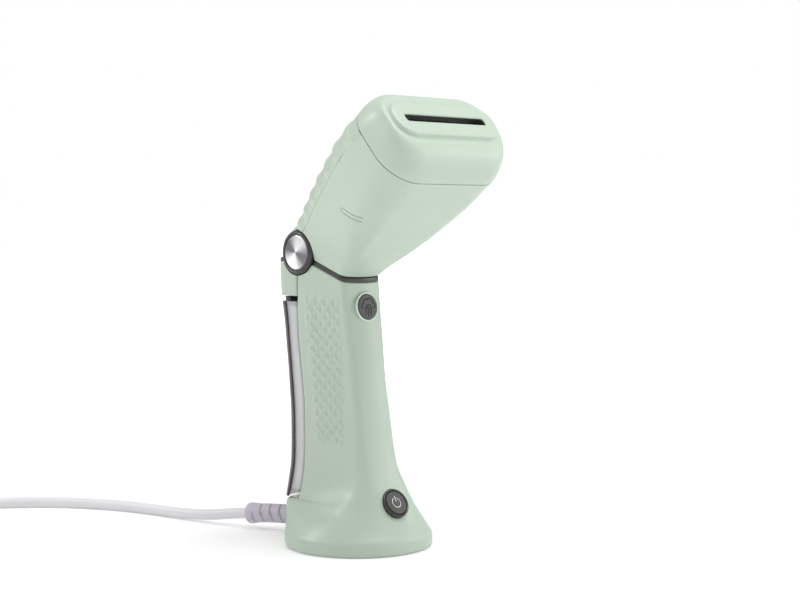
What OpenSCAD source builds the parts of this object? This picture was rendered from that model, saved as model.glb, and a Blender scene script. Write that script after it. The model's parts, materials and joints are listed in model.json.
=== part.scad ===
// Hand-held garment steamer that stands on its round base.
// Millimetres, +Z up. The steam head points to -Y and the water tank and cord are on the +Y side.

/* [Part] */
// Which sub-part to build

/* [Base and handle] */
// Radius of the round base
base_r = 44.6; // [42:0.1:47]
// Height of the upright rim of the base
rim_h = 7; // [5:0.5:8]
// Wall thickness of the moulded shells
wall = 2.2; // [1.8:0.1:2.4]
// Half width of the handle at its flat back
waist = 20.5; // [19.5:0.1:21.5]
// How far the front face of the handle bulges
front_bulge = 3; // [1:0.25:3.5]

/* [Hinge] */
// Distance of the fold axis behind the middle of the base
pivot_y = 33.6; // [32:0.1:35]
// Height of the fold axis
pivot_z = 176.4; // [174:0.1:178]
// Outer radius of the bevelled hinge rings
ring_r = 13.6; // [13:0.1:14]
// Radius of the brushed hinge caps
cap_r = 10.6; // [9:0.1:10.8]
// Slope of the parting line between handle and head
seam_slope = 21.5; // [20:0.5:23]

/* [Steam head] */
// Tilt of the head above level
head_tilt = 41.8; // [40:0.2:44]
// Half width of the head at the nozzle cap
head_half = 46; // [44:0.5:47]
// Length of the steam slot
slot_len = 63; // [58:0.5:66]
// Height of the steam slot
slot_h = 5.4; // [5:0.1:6]
// Number of steam holes
steam_holes = 9; // [7:1:11]
// Depth of the ribs across the rear cover
rib_depth = 0.9; // [0:0.1:1.2]

/* [Controls] */
// Width of the steam trigger with its clearance
trigger_w = 16; // [13:0.5:16]
// Diameter of the power button
power_d = 16; // [14:0.5:17]

/* [Mains lead] */
// Diameter of the mains lead
cord_d = 7; // [6.8:0.1:7.2]

/* [Hidden] */
$fn = 48;
green = [0.60, 0.70, 0.62];
dark = [0.13, 0.13, 0.14];
metal = [0.75, 0.75, 0.76];
clear_plastic = [0.85, 0.90, 0.90, 0.4];
pale = [0.85, 0.84, 0.87];
rubber = [0.2, 0.2, 0.2];
brass = [0.80, 0.66, 0.36];
board_green = [0.10, 0.35, 0.20];

// Points in one rounded corner, and between the two front corners
corner_n = 7;
front_n = 3;
pivot = [pivot_y, pivot_z];
// Everything but the hinge itself stays outside this radius round the fold axis
hinge_gap_r = ring_r + 0.7;
slot_at = [-74.8, 252.8];
trim_t = 2.6;
// Half width of the neck at its front corners
neck_half = 15.6;
seam_at_front = [-5.5, pivot_z - (pivot_y + 5.5) * tan(seam_slope)];

// ---------- outline and skin functions ----------

// Height and depth of a point given along the head's axis (u) and across it (v)
function head_pt(u, v) = [
    slot_at.x - u * cos(head_tilt) + v * sin(head_tilt),
    slot_at.y + u * sin(head_tilt) + v * cos(head_tilt)];

function arc_pts(cx, cy, r, a0, a1) = [
    for (i = [0 : corner_n - 1])
        let (a = a0 + (a1 - a0) * i / (corner_n - 1))
        [cx + r * cos(a), cy + r * sin(a)]];

// Outline with two front and two rear round corners. wf, wr: half widths; h: depth; bulge: front
// split: depth of one more point on each side, where a bent outline turns
function outline(wf, rf, wr, rr, h, bulge, split) =
    let (
        x1 = wf - rf,
        x2 = wr - rr,
        dx = x2 - x1,
        dy = h - rr - rf,
        tilt = asin((rf - rr) / norm([dx, dy])) - atan2(dx, dy),
        fore = arc_pts(x1, rf, rf, -90, tilt),
        aft = arc_pts(x2, h - rr, rr, tilt, 90),
        p0 = fore[corner_n - 1],
        p1 = aft[0],
        turn = is_undef(split) ? [] : [p0 + (p1 - p0) * (split - p0.y) / (p1.y - p0.y)],
        right = concat(fore, turn, aft),
        left = [for (i = [len(right) - 1 : -1 : 0]) [-right[i].x, right[i].y]],
        front = [for (i = [1 : front_n]) [-x1 + 2 * x1 * i / (front_n + 1), 0]])
    [for (p = concat(right, left, front))
        [p.x, p.y - (p.y < h / 2 ? bulge * max(0, 1 - pow(p.x / wf, 2)) : 0)]];

// One ring of a skin. A station is [front point, rear point, wf, rf, wr, rr, bulge].
// inset shrinks it evenly, and knee is the middle point of a bent ring.
function ring(s, inset = 0, knee = undef) =
    let (
        mid = is_undef(knee) ? (s[0] + s[1]) / 2 : knee,
        a = norm(mid - s[0]),
        b = norm(s[1] - mid),
        h = a + b - 2 * inset,
        e0 = (mid - s[0]) / a,
        e1 = (s[1] - mid) / b,
        flat = outline(s[2] - inset, max(s[3] - inset, 0.8), s[4] - inset,
            max(s[5] - inset, 0.8), h, s[6], is_undef(knee) ? undef : a - inset))
    [for (p = flat)
        let (
            d = p.y + inset,
            q = d < a ? s[0] + e0 * d : mid + e1 * (d - a))
        [p.x, q.x, q.y]];

// Closed solid through a list of equal rings; looped joins the last ring to the first
module skin(rings, looped = false) {
    m = len(rings);
    n = len(rings[0]);
    spans = looped ? m : m - 1;
    sides = [
        for (i = [0 : spans - 1])
            for (j = [0 : n - 1])
                let (
                    k = (j + 1) % n,
                    a = i * n,
                    b = ((i + 1) % m) * n)
                each [[a + j, b + j, b + k], [a + j, b + k, a + k]]];
    caps = looped ? [] : [
        [for (j = [0 : n - 1]) j],
        [for (j = [n - 1 : -1 : 0]) (m - 1) * n + j]];
    polyhedron(points = [for (r = rings) each r], faces = concat(sides, caps));
}

// Open band of a skin, from point first to point last, with the wall's thickness
module band(outer, inner, first, last) {
    m = len(outer);
    n = len(outer[0]);
    w = last - first + 1;
    k = 2 * w;
    pts = [
        for (i = [0 : m - 1])
            each concat(
                [for (j = [first : last]) outer[i][j % n]],
                [for (j = [last : -1 : first]) inner[i][j % n]])];
    sides = [
        for (i = [0 : m - 2])
            for (j = [0 : k - 1])
                let (
                    q = (j + 1) % k,
                    a = i * k,
                    b = (i + 1) * k)
                each [[a + j, b + q, b + j], [a + j, a + q, b + q]]];
    ends = [
        for (j = [0 : w - 2])
            let (
                q = k - 1 - j,
                t = (m - 1) * k)
            each [[j, q - 1, j + 1], [j, q, q - 1],
                [t + j, t + j + 1, t + q - 1], [t + j, t + q - 1, t + q]]];
    polyhedron(points = pts, faces = concat(sides, ends));
}

// Tube of constant or tapering radius along route points
function unit(v) = v / norm(v);
module tube(route, radii, sides) {
    m = len(route);
    rings = [
        for (i = [0 : m - 1])
            let (
                along = unit(route[min(i + 1, m - 1)] - route[max(i - 1, 0)]),
                across = unit(cross(along, [0, 0, 1])),
                up = cross(across, along),
                r = radii[min(i, len(radii) - 1)])
            [for (j = [0 : sides - 1])
                let (a = 360 * j / sides)
                route[i] + across * r * cos(a) + up * r * sin(a)]];
    skin([for (i = [m - 1 : -1 : 0]) rings[i]]);
}

// Smooth curve through hand-chosen points, pieces rings to each span
function spline(p, pieces) = [
    for (i = [0 : len(p) - 2])
        let (
            p0 = p[max(i - 1, 0)],
            p3 = p[min(i + 2, len(p) - 1)])
        for (k = [0 : pieces - 1 + (i == len(p) - 2 ? 1 : 0)])
            let (t = k / pieces)
            0.5 * (2 * p[i] + (p[i + 1] - p0) * t
                + (2 * p0 - 5 * p[i] + 4 * p[i + 1] - p3) * t * t
                + (3 * p[i] - 3 * p[i + 1] + p3 - p0) * t * t * t)];

module about_pivot() {
    translate([0, pivot_y, pivot_z])
        rotate([0, 90, 0])
            children();
}

module pivot_rod(r, x0, x1) {
    about_pivot()
        translate([0, 0, x0])
            cylinder(r = r, h = x1 - x0);
}

// Local frame of the head: -Y forward along its axis, Z across it, origin in the slot
module in_head() {
    translate([0, slot_at.x, slot_at.y])
        rotate([-head_tilt, 0, 0])
            children();
}

module head_box(x, u0, u1, v0, v1) {
    in_head()
        translate([-x, -u1, v0])
            cube([2 * x, u1 - u0, v1 - v0]);
}

module box(x0, x1, y0, y1, z0, z1) {
    translate([x0, y0, z0])
        cube([x1 - x0, y1 - y0, z1 - z0]);
}

// ---------- handle stations ----------

// Base: full round sections, then the shelf under the tank
base_sections = [
    [[-base_r, 0.4], [base_r, 0.4], base_r, base_r - 0.6, base_r, base_r - 0.6, 0],
    [[-base_r, rim_h], [base_r, rim_h], base_r, base_r - 0.6, base_r, base_r - 0.6, 0],
    [[-41.4, 12], [44.2, 12], 41.5, 40, 41, 38, 0],
    [[-37.4, 17], [44.5, 17], 37, 33, 36, 30, 0.3],
    [[-34.3, 22], [43.6, 22], 31, 25, 31, 20, 0.8],
    [[-32.4, 25.6], [44, 25.4], 28, 21.5, 27.4, 15, 1]];
shelf_top = 26.6;
// Grip: flat back against the tank, edge_y is where the tank starts
grip_sections = [
    [[-31.4, shelf_top + 0.8], [28, shelf_top], 25.8, 19, 24.8, 2.2, 1.2],
    [[-26.5, 37], [27.4, 37], 20, 11, 22, 2, 2],
    [[-20.5, 48], [26.8, 48], 17, 7.5, 21, 2, front_bulge],
    [[-17.6, 60], [26.6, 60], 15.6, 5.5, waist, 2, front_bulge],
    [[-14.4, 80], [26.8, 80], 14.7, 4.6, waist, 2, front_bulge],
    [[-11, 100], [28.6, 100], 14.2, 4.2, waist, 2, front_bulge],
    [[-8.4, 120], [31.6, 120], 14.6, 4, waist, 2, front_bulge],
    [[-5.6, 138], [33.4, 138], 15.2, 3.6, 20.2, 2, front_bulge],
    [[-4, 150], [34, 156], 15.4, 3.4, 19.8, 2, front_bulge - 0.5]];
handle_top_rear = pivot + [0, -trim_t / cos(seam_slope) - 0.1];
handle_top = [seam_at_front - [0, trim_t / cos(seam_slope) + 0.1] + [2.6, 1], handle_top_rear,
    neck_half, 3.4, 19.4, 2, front_bulge - 0.5];
handle_sections = concat(base_sections, grip_sections, [handle_top]);

// Rear outline shared by the tank, its spine and the cap above it: [height, rear y, half width]
function rear_y(z) = lookup(z, [[27, 45.2], [36, 44.9], [50, 43.6], [75, 43.9], [98, 45.8],
    [120, 48.4], [134, 50.2], [150, 52.9], [160, 54.2], [175, 54.8]]);
function edge_y(z) = lookup(z, [[27, 28], [37, 27.4], [48, 26.8], [60, 26.6], [80, 26.8],
    [100, 28.6], [120, 31.6], [138, 33.4], [156, 34], [175, 34]]);
function edge_w(z) = lookup(z, [[27, 24.6], [37, 22], [48, 21], [60, waist], [120, waist],
    [138, 20.2], [156, 19.8], [175, 19.4]]);
function rear_w(z) = lookup(z, [[27, 23.6], [37, 21.8], [48, 20.9], [60, waist], [175, 20]]);
tank_bottom = shelf_top + 0.4;
tank_top = 146.4;
spine_from = 8;
spine_t = 1.6;
tank_levels = [tank_bottom, 37, 48, 60, 80, 100, 120, 138, tank_top];
window_gap = 0.4;

function tank_station(z) = [
    [edge_y(z) + window_gap, z], [rear_y(z) - spine_t - 0.1, z], edge_w(z), 2,
    rear_w(z) - spine_t * 0.6, 7, 0.2];
function spine_station(z) = [
    [edge_y(z) + window_gap, z], [rear_y(z), z], edge_w(z) + 0.01, 2, rear_w(z), 8, 0];

// ---------- base and handle ----------

module foot_pad() {
    color(rubber)
        difference() {
            cylinder(r = base_r - 4, h = 1.6);
            // shallow moulding ring
            translate([0, 0, -1])
                difference() {
                    cylinder(r = base_r - 9, h = 1.6);
                    cylinder(r = base_r - 13, h = 1.6);
                }
        }
}

base_screw_at = [[26, -18], [-26, -18], [0, 27]];

module base_plate() {
    color(dark)
        difference() {
            translate([0, 0, 1.7])
                cylinder(r = base_r - wall - 0.5, h = 2.4);
            for (p = base_screw_at)
                translate([p.x, p.y, 0])
                    cylinder(r = 1.6, h = 6);
        }
}

module base_screws() {
    color(metal)
        for (p = base_screw_at)
            translate([p.x, p.y, 0]) {
                translate([0, 0, 4.1])
                    cylinder(r = 3, h = 1.8);
                translate([0, 0, 1.8])
                    cylinder(r = 1.5, h = 3);
            }
}

trigger_at = [0, -7.9, 144];
trigger_lean = 7.5;
power_at = [0, -32.6, 28.6];
power_lean = 32;

module at_trigger() {
    translate(trigger_at)
        rotate([90 - trigger_lean, 0, 0])
            children();
}

module at_power() {
    translate(power_at)
        rotate([90 - power_lean, 0, 0])
            children();
}

cord_exit = [0, base_r - 0.2, 11];
cord_turn = 20;

module at_exit() {
    translate(cord_exit)
        rotate([-90, 0, cord_turn])
            children();
}

module handle_shell() {
    outer = [for (s = handle_sections) ring(s)];
    inner = [for (i = [len(handle_sections) - 1 : -1 : 0]) ring(handle_sections[i], wall)];
    color(green)
        difference() {
            skin(concat(outer, inner), looped = true);
            pivot_rod(hinge_gap_r, -30, 30);
            at_trigger()
                translate([0, 0, -8])
                    cylinder(r = trigger_w / 2 + 0.4, h = 16);
            at_power()
                translate([0, 0, -10])
                    cylinder(r = power_d / 2 + 1.1, h = 20);
            at_exit()
                translate([0, 0, -8])
                    cylinder(r = 5.3, h = 16);
        }
}

cap_bottom = tank_top + 3.2;
module rear_top_cap() {
    // the cap's top follows a plane through the fold axis
    top_slope = 10.5;
    top_rear = pivot + [21.3, -21.3 * tan(top_slope) - trim_t];
    stations = [
        [[34.3, cap_bottom], [rear_y(cap_bottom), cap_bottom], 19.9, 1.2, 20.2, 8, 0],
        [[34.3, 160], [rear_y(160), 160], 19.7, 1.2, 20, 8, 0],
        [pivot + [0.7, -trim_t - 0.2], top_rear, 19.3, 1.2, 19.6, 8, 0]];
    outer = [for (s = stations) ring(s)];
    inner = [for (i = [2 : -1 : 0]) ring(stations[i], wall)];
    color(green)
        difference() {
            skin(concat(outer, inner), looped = true);
            pivot_rod(hinge_gap_r, -30, 30);
        }
}

// Dark collar under the head: seam plane in front of the axis, cap plane behind it
module collar(y0, y1) {
    front_low = seam_at_front - [0, trim_t / cos(seam_slope)] + [2.6, 1];
    front_high = seam_at_front + [2.6, 1];
    rear_high = pivot + [21.3, -21.3 * tan(10.5)];
    rear_low = rear_high - [0, trim_t - 0.1];
    low = [front_low, rear_low, neck_half, 3.4, 19.6, 8, front_bulge - 0.5];
    high = [front_high, rear_high, neck_half - 0.2, 3.4, 19.4, 8, front_bulge - 0.5];
    low_knee = pivot + [0, -trim_t];
    trim_in = 2.2;
    color(dark)
        difference() {
            intersection() {
                skin([ring(low, 0, low_knee), ring(high, 0, pivot),
                    ring(high, trim_in, pivot), ring(low, trim_in, low_knee)], looped = true);
                box(-30, 30, y0, y1, 140, 200);
            }
            pivot_rod(hinge_gap_r, -30, 30);
        }
}

module neck_trim() {
    collar(-20, pivot_y);
}

module rear_trim() {
    collar(pivot_y, 70);
}

// Inner frame that carries the hinge ears, pump and board
module chassis() {
    ear_in = 13;
    ear_t = 2.8;
    ear_half = ear_in + ear_t;
    color(dark)
        difference() {
            union() {
                box(-11, 11, 20, 22.5, 24, 150);
                for (z = [60, 100])
                    box(-17, 17, 20, 22.5, z, z + 4);
                box(-ear_half, ear_half, 20, 31, 147, 150);
                for (side = [-1, 1])
                    translate([side * (ear_in + ear_t / 2), 0, 0]) {
                        translate([-ear_t / 2, 22.6, 149])
                            cube([ear_t, 8.4, 23]);
                        translate([-ear_t / 2, pivot_y, pivot_z])
                            rotate([0, 90, 0])
                                cylinder(r = 11.6, h = ear_t);
                    }
            }
            pivot_rod(5, -30, 30);
        }
}

// ---------- tank ----------

module water_tank() {
    outer = [for (z = tank_levels) ring(tank_station(z))];
    inner_z = [for (z = tank_levels) min(max(z, tank_bottom + 1.6), tank_top - 1.6)];
    inner = [for (z = inner_z) ring(tank_station(z), 1.4)];
    color(clear_plastic)
        difference() {
            skin(outer);
            skin(inner);
            // filling mouth in the foot and outlet at the top
            translate([0, 37, tank_bottom - 1])
                cylinder(r = 5, h = 4);
            translate([0, 41, tank_top - 4])
                cylinder(r = 3.2, h = 8);
        }
}

// Dark cover round the tank's rear corners
module tank_spine() {
    outer = [for (z = tank_levels) ring(spine_station(z))];
    inner = [
        for (z = tank_levels)
            ring([[edge_y(z) + window_gap, z], [rear_y(z) - spine_t, z], edge_w(z), 2,
                rear_w(z) - spine_t * 0.6 + 0.05, 7.05, 0])];
    color(dark)
        band(outer, inner, corner_n, 3 * corner_n - 1);
}

module tank_stopper() {
    color(rubber)
        translate([0, 37, tank_bottom]) {
            translate([0, 0, 0.1])
                cylinder(r = 4.95, h = 6);
            translate([0, 0, 2])
                cylinder(r1 = 6.5, r2 = 5.6, h = 3.4);
        }
}

module tank_valve() {
    color(pale)
        difference() {
            translate([0, 41, tank_top - 14])
                union() {
                    cylinder(r = 3.1, h = 16.8);
                    cylinder(r = 4.6, h = 9);
                }
            translate([0, 41, tank_top - 15])
                cylinder(r = 1.4, h = 20);
        }
}

// Snap catch on top of the tank, under the rear cap
module tank_latch() {
    color(dark)
        skin([
            for (z = [tank_top + 0.1, tank_top + 2.8])
                ring([[44.7, z], [rear_y(z) - 0.4, z], 16, 1, 15.5, 3.5, 0.1])]);
}

// Seat in the rear cap that the tank's valve pushes against
module valve_seat() {
    color(dark)
        difference() {
            translate([0, 41, cap_bottom])
                cylinder(r = 4.4, h = 8);
            translate([0, 41, cap_bottom - 1])
                cylinder(r = 1.5, h = 12);
        }
}

// ---------- pump, hose, electrics in the handle ----------

module pump() {
    color(metal) {
        translate([0, 10, 66])
            cylinder(r = 9.3, h = 30);
        translate([0, 10, 96])
            cylinder(r = 3.4, h = 8);
        box(-7, 7, 12, 20, 70, 92);
    }
}

// Ends in the hinge ear, where the water turns into the hollow axle
hose_route = [[0, 10, 104.1], [0, 10, 112], [1, 11, 122], [2, 13, 133], [3, 15, 143], [6, 18, 152],
    [9, 22, 158], [13.1, 25, 162]];
module pump_hose() {
    color(pale)
        tube(spline(hose_route, 3), [2], 8);
}

module lead_wires() {
    route = [[2.6, 37.4, 11], [4, 32, 12], [3, 24, 14], [-2, 14, 19], [-7, 5, 26], [-8, 0, 32],
        [-8, -1.4, 37.9]];
    color([0.5, 0.2, 0.2])
        tube(spline(route, 3), [1.6], 8);
}

module control_board() {
    color(board_green)
        box(-9, 9, -2.2, -0.6, 38, 88);
    color(dark) {
        box(-7, 0, -6.2, -2.2, 72, 84);
        box(2, 7, -5.2, -2.2, 44, 58);
    }
}

// ---------- controls ----------

button_lift = 1.2;

module trigger_bezel() {
    color([0.70, 0.80, 0.72])
        at_trigger()
            difference() {
                union() {
                    translate([0, 0, -2.4])
                        cylinder(r = trigger_w / 2 + 0.35, h = 2.9);
                    translate([0, 0, -0.2])
                        cylinder(r1 = trigger_w / 2 + 1, r2 = trigger_w / 2 + 0.6, h = 1);
                }
                translate([0, 0, -4])
                    cylinder(r = trigger_w / 2 - 0.3, h = 8);
            }
}

module trigger_button() {
    color(dark)
        at_trigger()
            union() {
                translate([0, 0, -3])
                    cylinder(r = trigger_w / 2 - 0.5, h = 3 + button_lift);
                translate([0, 0, -4.2])
                    cylinder(r = 1.5, h = 1.4);
                // raised generic cloud
                translate([0, 1.6, button_lift])
                    for (p = [[-2.3, 0, 1.7], [0.2, 1.2, 2.1], [2.5, 0, 1.6]])
                        translate([p.x, p.y, -0.1])
                            cylinder(r = p.z, h = 0.4);
                for (x = [-2, 0, 2])
                    translate([x - 0.35, -3.6, button_lift - 0.1])
                        cube([0.7, 2.8, 0.4]);
            }
}

// A closed sleeve stands for the coil spring
module button_spring(depth, len) {
    translate([0, 0, -depth - len])
        difference() {
            cylinder(r = 2.6, h = len);
            translate([0, 0, -1])
                cylinder(r = 2, h = len + 2);
        }
}

module trigger_spring() {
    color(metal)
        at_trigger()
            button_spring(3, 4.2);
}

module trigger_switch() {
    color(dark)
        at_trigger()
            translate([-4, -4, -13.2])
                cube([8, 8, 6]);
}

module power_bezel() {
    color(dark)
        at_power()
            difference() {
                translate([0, 0, -3])
                    cylinder(r = power_d / 2 + 1.05, h = 4.4);
                translate([0, 0, -5])
                    cylinder(r = power_d / 2 - 0.3, h = 10);
            }
}

module power_button() {
    color(dark)
        at_power()
            difference() {
                union() {
                    translate([0, 0, -3])
                        cylinder(r = power_d / 2 - 0.7, h = 4.6);
                    translate([0, 0, -4.2])
                        cylinder(r = 1.5, h = 1.4);
                }
                // generic power mark: a ring open at the top and a bar
                translate([0, 0, 1.3])
                    difference() {
                        cylinder(r = 3.4, h = 1);
                        translate([0, 0, -1])
                            cylinder(r = 2.7, h = 3);
                        translate([-1.2, 0, -1])
                            cube([2.4, 5, 3]);
                    }
                translate([-0.35, 0.8, 1.3])
                    cube([0.7, 3, 1]);
            }
}

module power_spring() {
    color(metal)
        at_power()
            button_spring(3, 4.2);
}

module power_switch() {
    color(dark)
        at_power()
            translate([-5, -4, -14.2])
                cube([10, 8, 7]);
}

// ---------- hinge ----------

module hinge_axle() {
    color(metal)
        difference() {
            pivot_rod(5, -17.3, 17.3);
            pivot_rod(3.2, -20, 20);
        }
}

// Bevelled ring round the brushed cap, built for the +X side
module hinge_ring() {
    about_pivot()
        rotate_extrude()
            polygon([[0, 17.4], [ring_r, 17.4], [ring_r, 19.7], [ring_r - 1.6, 21],
                [cap_r + 0.1, 21], [cap_r + 0.1, 19.6], [0, 19.6]]);
}

module hinge_cap() {
    about_pivot()
        translate([0, 0, 19.65])
            rotate_extrude()
                polygon([[0, 0], [cap_r, 0], [cap_r, 0.9], [cap_r - 0.6, 1.3], [0, 1.6]]);
}

module hinge_ring_right() {
    color(dark)
        hinge_ring();
}

module hinge_ring_left() {
    color(dark)
        mirror([1, 0, 0])
            hinge_ring();
}

module hinge_cap_right() {
    color(metal)
        hinge_cap();
}

module hinge_cap_left() {
    color(metal)
        mirror([1, 0, 0])
            hinge_cap();
}

pivot_u = -131.7;
pivot_v = 15.3;
module head_knuckle() {
    color(dark)
        difference() {
            union() {
                pivot_rod(12.4, -12.7, 12.7);
                head_box(8, pivot_u + 4, -96, pivot_v - 10, pivot_v + 6);
                head_box(16, -98, -95, pivot_v - 26, pivot_v + 4);
                for (p = boiler_screw_at)
                    in_head()
                        translate([p.x, 84.1, p.y])
                            rotate([-90, 0, 0])
                                cylinder(r = 3.6, h = 11.4);
            }
            pivot_rod(5.06, -30, 30);
            for (p = boiler_screw_at)
                in_head()
                    translate([p.x, 80, p.y])
                        rotate([-90, 0, 0])
                            cylinder(r = 1.6, h = 30);
        }
}

// ---------- head ----------

cap_seam_u = -22;
// Stations from the neck to the nozzle cap
head_sections = [
    [seam_at_front + [2.4, 1.6], pivot + 17.5 * [cos(50), sin(50)], neck_half, 3.6, 18.4, 10, 2],
    [head_pt(-104, -20.4), head_pt(-118, 33), 19.5, 6, 22, 13, 2],
    [head_pt(-92, -22.4), head_pt(-102, 33.8), 25.5, 9, 26.5, 15, 2],
    [head_pt(-78, -24.6), head_pt(-84, 34.2), 31.5, 12, 31.5, 17, 1.6],
    [head_pt(-62, -26.6), head_pt(-65, 33.4), 37, 15, 36.5, 18.5, 1.2],
    [head_pt(-44, -28.8), head_pt(-45, 32.2), 42, 18, 41.5, 20, 0.6],
    [head_pt(cap_seam_u, -30.2), head_pt(cap_seam_u, 28.5), head_half, 21, head_half, 22, 0]];

function mix(a, b, t) = a + (b - a) * t;
// Station part way along the head, t from 0 to 1
function head_station(t, swell = 0) =
    let (
        f = min(t, 0.9999) * (len(head_sections) - 1),
        i = floor(f),
        s = [for (k = [0 : 6]) mix(head_sections[i][k], head_sections[i + 1][k], f - i)])
    [s[0], s[1] + swell * unit(s[1] - s[0]), s[2], s[3], s[4] + swell, s[5] + swell, s[6]];
// The neck ring is bent round the fold axis and the others are straight
function head_knee(t) =
    let (
        s = head_station(t),
        straight = mix(s[0], s[1], 0.69),
        bent = pivot + [0, 0.3])
    mix(bent, straight, min(t * 6, 1));

shell_steps = 18;
cover_steps = 36;
rib_count = 8;
function head_ring(t, inset, swell = 0) = ring(head_station(t, swell), inset, head_knee(t));
// The rear cover runs over the two rear corners, from the first of these points to the last
cover_first = corner_n + 1;
cover_last = 3 * corner_n;
function rib(t) = rib_depth * max(0, sin(360 * rib_count * t)) * (t < 0.97 ? 1 : 0);

module head_shell() {
    outer = [for (i = [0 : shell_steps]) head_ring(i / shell_steps, 0)];
    inner = [for (i = [0 : shell_steps]) head_ring(i / shell_steps, wall)];
    color(green)
        difference() {
            band(outer, inner, cover_last, len(outer[0]) + cover_first);
            pivot_rod(hinge_gap_r, -30, 30);
        }
}

// Moves a ring's two border points in by a hair, so that the cover clears the shell
function trimmed(r, border) = [
    for (j = [0 : cover_last])
        j == cover_first ? mix(border[j], border[j + 1], 0.1)
            : j == cover_last ? mix(border[j], border[j - 1], 0.1) : r[j]];

module head_rear_cover() {
    // the ribs fade out at the two parting lines
    steps = [for (i = [0 : cover_steps]) i / cover_steps];
    outer = [for (t = steps) trimmed(head_ring(t, 0, rib(t)), head_ring(t, 0))];
    inner = [for (t = steps) trimmed(head_ring(t, wall), head_ring(t, wall))];
    color(green)
        difference() {
            band(outer, inner, cover_first, cover_last);
            pivot_rod(hinge_gap_r, -30, 30);
        }
}

// Nozzle cap: rounded hood, raised pad and the slot through it
pad_half = 40;
pad_v = 12.5;
pad_r = 11.5;
// Hood at depth u; bend goes from 0 at the seam to 1 at its face
function hood_station(u, bend) =
    let (x = head_half - 4.3 * bend)
    [head_pt(u, -30.2 + 16.2 * bend), head_pt(u, 28.5 - 11 * bend),
        x, 21 - 7.5 * bend, x, 22 - 6 * bend, 0];
// Rounded box of half size x by v, grown by g
function pad_ring(u, x, v, r, g) =
    ring([head_pt(u, -v - g), head_pt(u, v + g), x + g, r + g, x + g, r + g, 0]);
module nozzle_cap() {
    face_u = -2.6;
    hood_depth = -cap_seam_u + face_u;
    hood = [
        for (a = [0 : 15 : 90])
            ring(hood_station(cap_seam_u + 0.3 + (hood_depth - 0.3) * sin(a), 1 - cos(a)))];
    pad = [
        pad_ring(-2.3, pad_half, pad_v, pad_r, 0.4),
        pad_ring(-0.8, pad_half, pad_v, pad_r, 0),
        pad_ring(0, pad_half, pad_v, pad_r, -1.4)];
    slot = [
        pad_ring(0, slot_len / 2, slot_h / 2, 2, 0),
        pad_ring(-4.2, slot_len / 2, slot_h / 2, 2, 0)];
    inside = [
        for (a = [60 : -15 : 0])
            ring(hood_station(cap_seam_u + 0.3 + (hood_depth - 2.6) * sin(a), 1 - cos(a)), wall)];
    color(green)
        skin(concat(hood, pad, slot, inside), looped = true);
}

module steam_plate() {
    color(metal)
        in_head()
            difference() {
                translate([-slot_len / 2 - 2, 5.4, -slot_h / 2 - 2])
                    cube([slot_len + 4, 1.6, slot_h + 4]);
                for (i = [0 : steam_holes - 1])
                    translate([(i - (steam_holes - 1) / 2) * 6.4, 0, 0])
                        rotate([-90, 0, 0])
                            cylinder(r = 0.9, h = 12);
            }
}

module boiler() {
    color(metal)
        difference() {
            union() {
                head_box(24, -84, -36, -12, 14);
                in_head()
                    rotate([-90, 0, 0])
                        translate([0, 0, 7.1])
                            cylinder(r = 2.4, h = 30);
            }
            in_head()
                rotate([-90, 0, 0])
                    cylinder(r = 1.4, h = 60);
            for (p = boiler_screw_at)
                in_head()
                    translate([p.x, 70, p.y])
                        rotate([-90, 0, 0])
                            cylinder(r = 1.6, h = 30);
        }
}

boiler_screw_at = [[-12, -8], [12, -8]];
module boiler_screws() {
    color(brass)
        in_head()
            for (p = boiler_screw_at)
                translate([p.x, 74, p.y])
                    rotate([-90, 0, 0])
                        cylinder(r = 1.5, h = 26);
}

// U-shaped heater rod clamped on the boiler
module heating_element() {
    color(metal)
        in_head()
            translate([0, 0, 17.2]) {
                for (x = [-14, 14])
                    translate([x, 50, 0])
                        rotate([-90, 0, 0])
                            cylinder(r = 3, h = 30);
                translate([0, 50, 0])
                    rotate([0, 0, 180])
                        rotate_extrude(angle = 180)
                            translate([14, 0])
                                circle(r = 3);
            }
}

module thermostat() {
    color(brass)
        in_head()
            translate([-8, 62, -18.6])
                cylinder(r = 6, h = 6.4);
}

module thermal_fuse() {
    color(pale)
        in_head()
            translate([8, 52, -15.2])
                rotate([-90, 0, 0])
                    cylinder(r = 2.6, h = 14);
}

module steam_hose() {
    route = [for (p = [[-124.4, 24.8], [-117, 27.4], [-108, 28], [-99, 26], [-91, 20], [-84.1, 11]])
        let (q = head_pt(p.x, p.y))
        [0, q.x, q.y]];
    color(pale)
        tube(spline(route, 3), [2.2], 8);
}

// ---------- mains lead ----------

// Points of the lead from the base to its coil
lead_route = [[-4, 56, 11], [-8, 67, 10.8], [-12, 78, 10.2], [-16, 90, 9], [-19, 101, 7.6],
    [-22, 112, 6], [-25, 125, 4.6], [-28, 140, 3.8], [-31, 157, 3.5], [-35, 176, 3.5],
    [-41, 195, 3.5], [-50, 214, 3.5], [-62, 232, 3.5], [-78, 248, 3.5], [-97, 262, 3.5],
    [-118, 272, 3.5], [-140, 279, 3.5], [-160, 282, 3.5], [-178, 282.5, 3.5]];
coil_mid = 37.5;
coil_columns = 3;
coil_at = [-178, 238];
tail_route = [[-222.5, 238, 10.5], [-222.5, 226, 10.4], [-222.5, 214, 9.4], [-222, 202, 7.6],
    [-221, 190, 6], [-220, 178, 5.6], [-219, 167, 6.6], [-218.5, 158, 8]];
plug_z = 8;
plug_x = -218;

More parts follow.
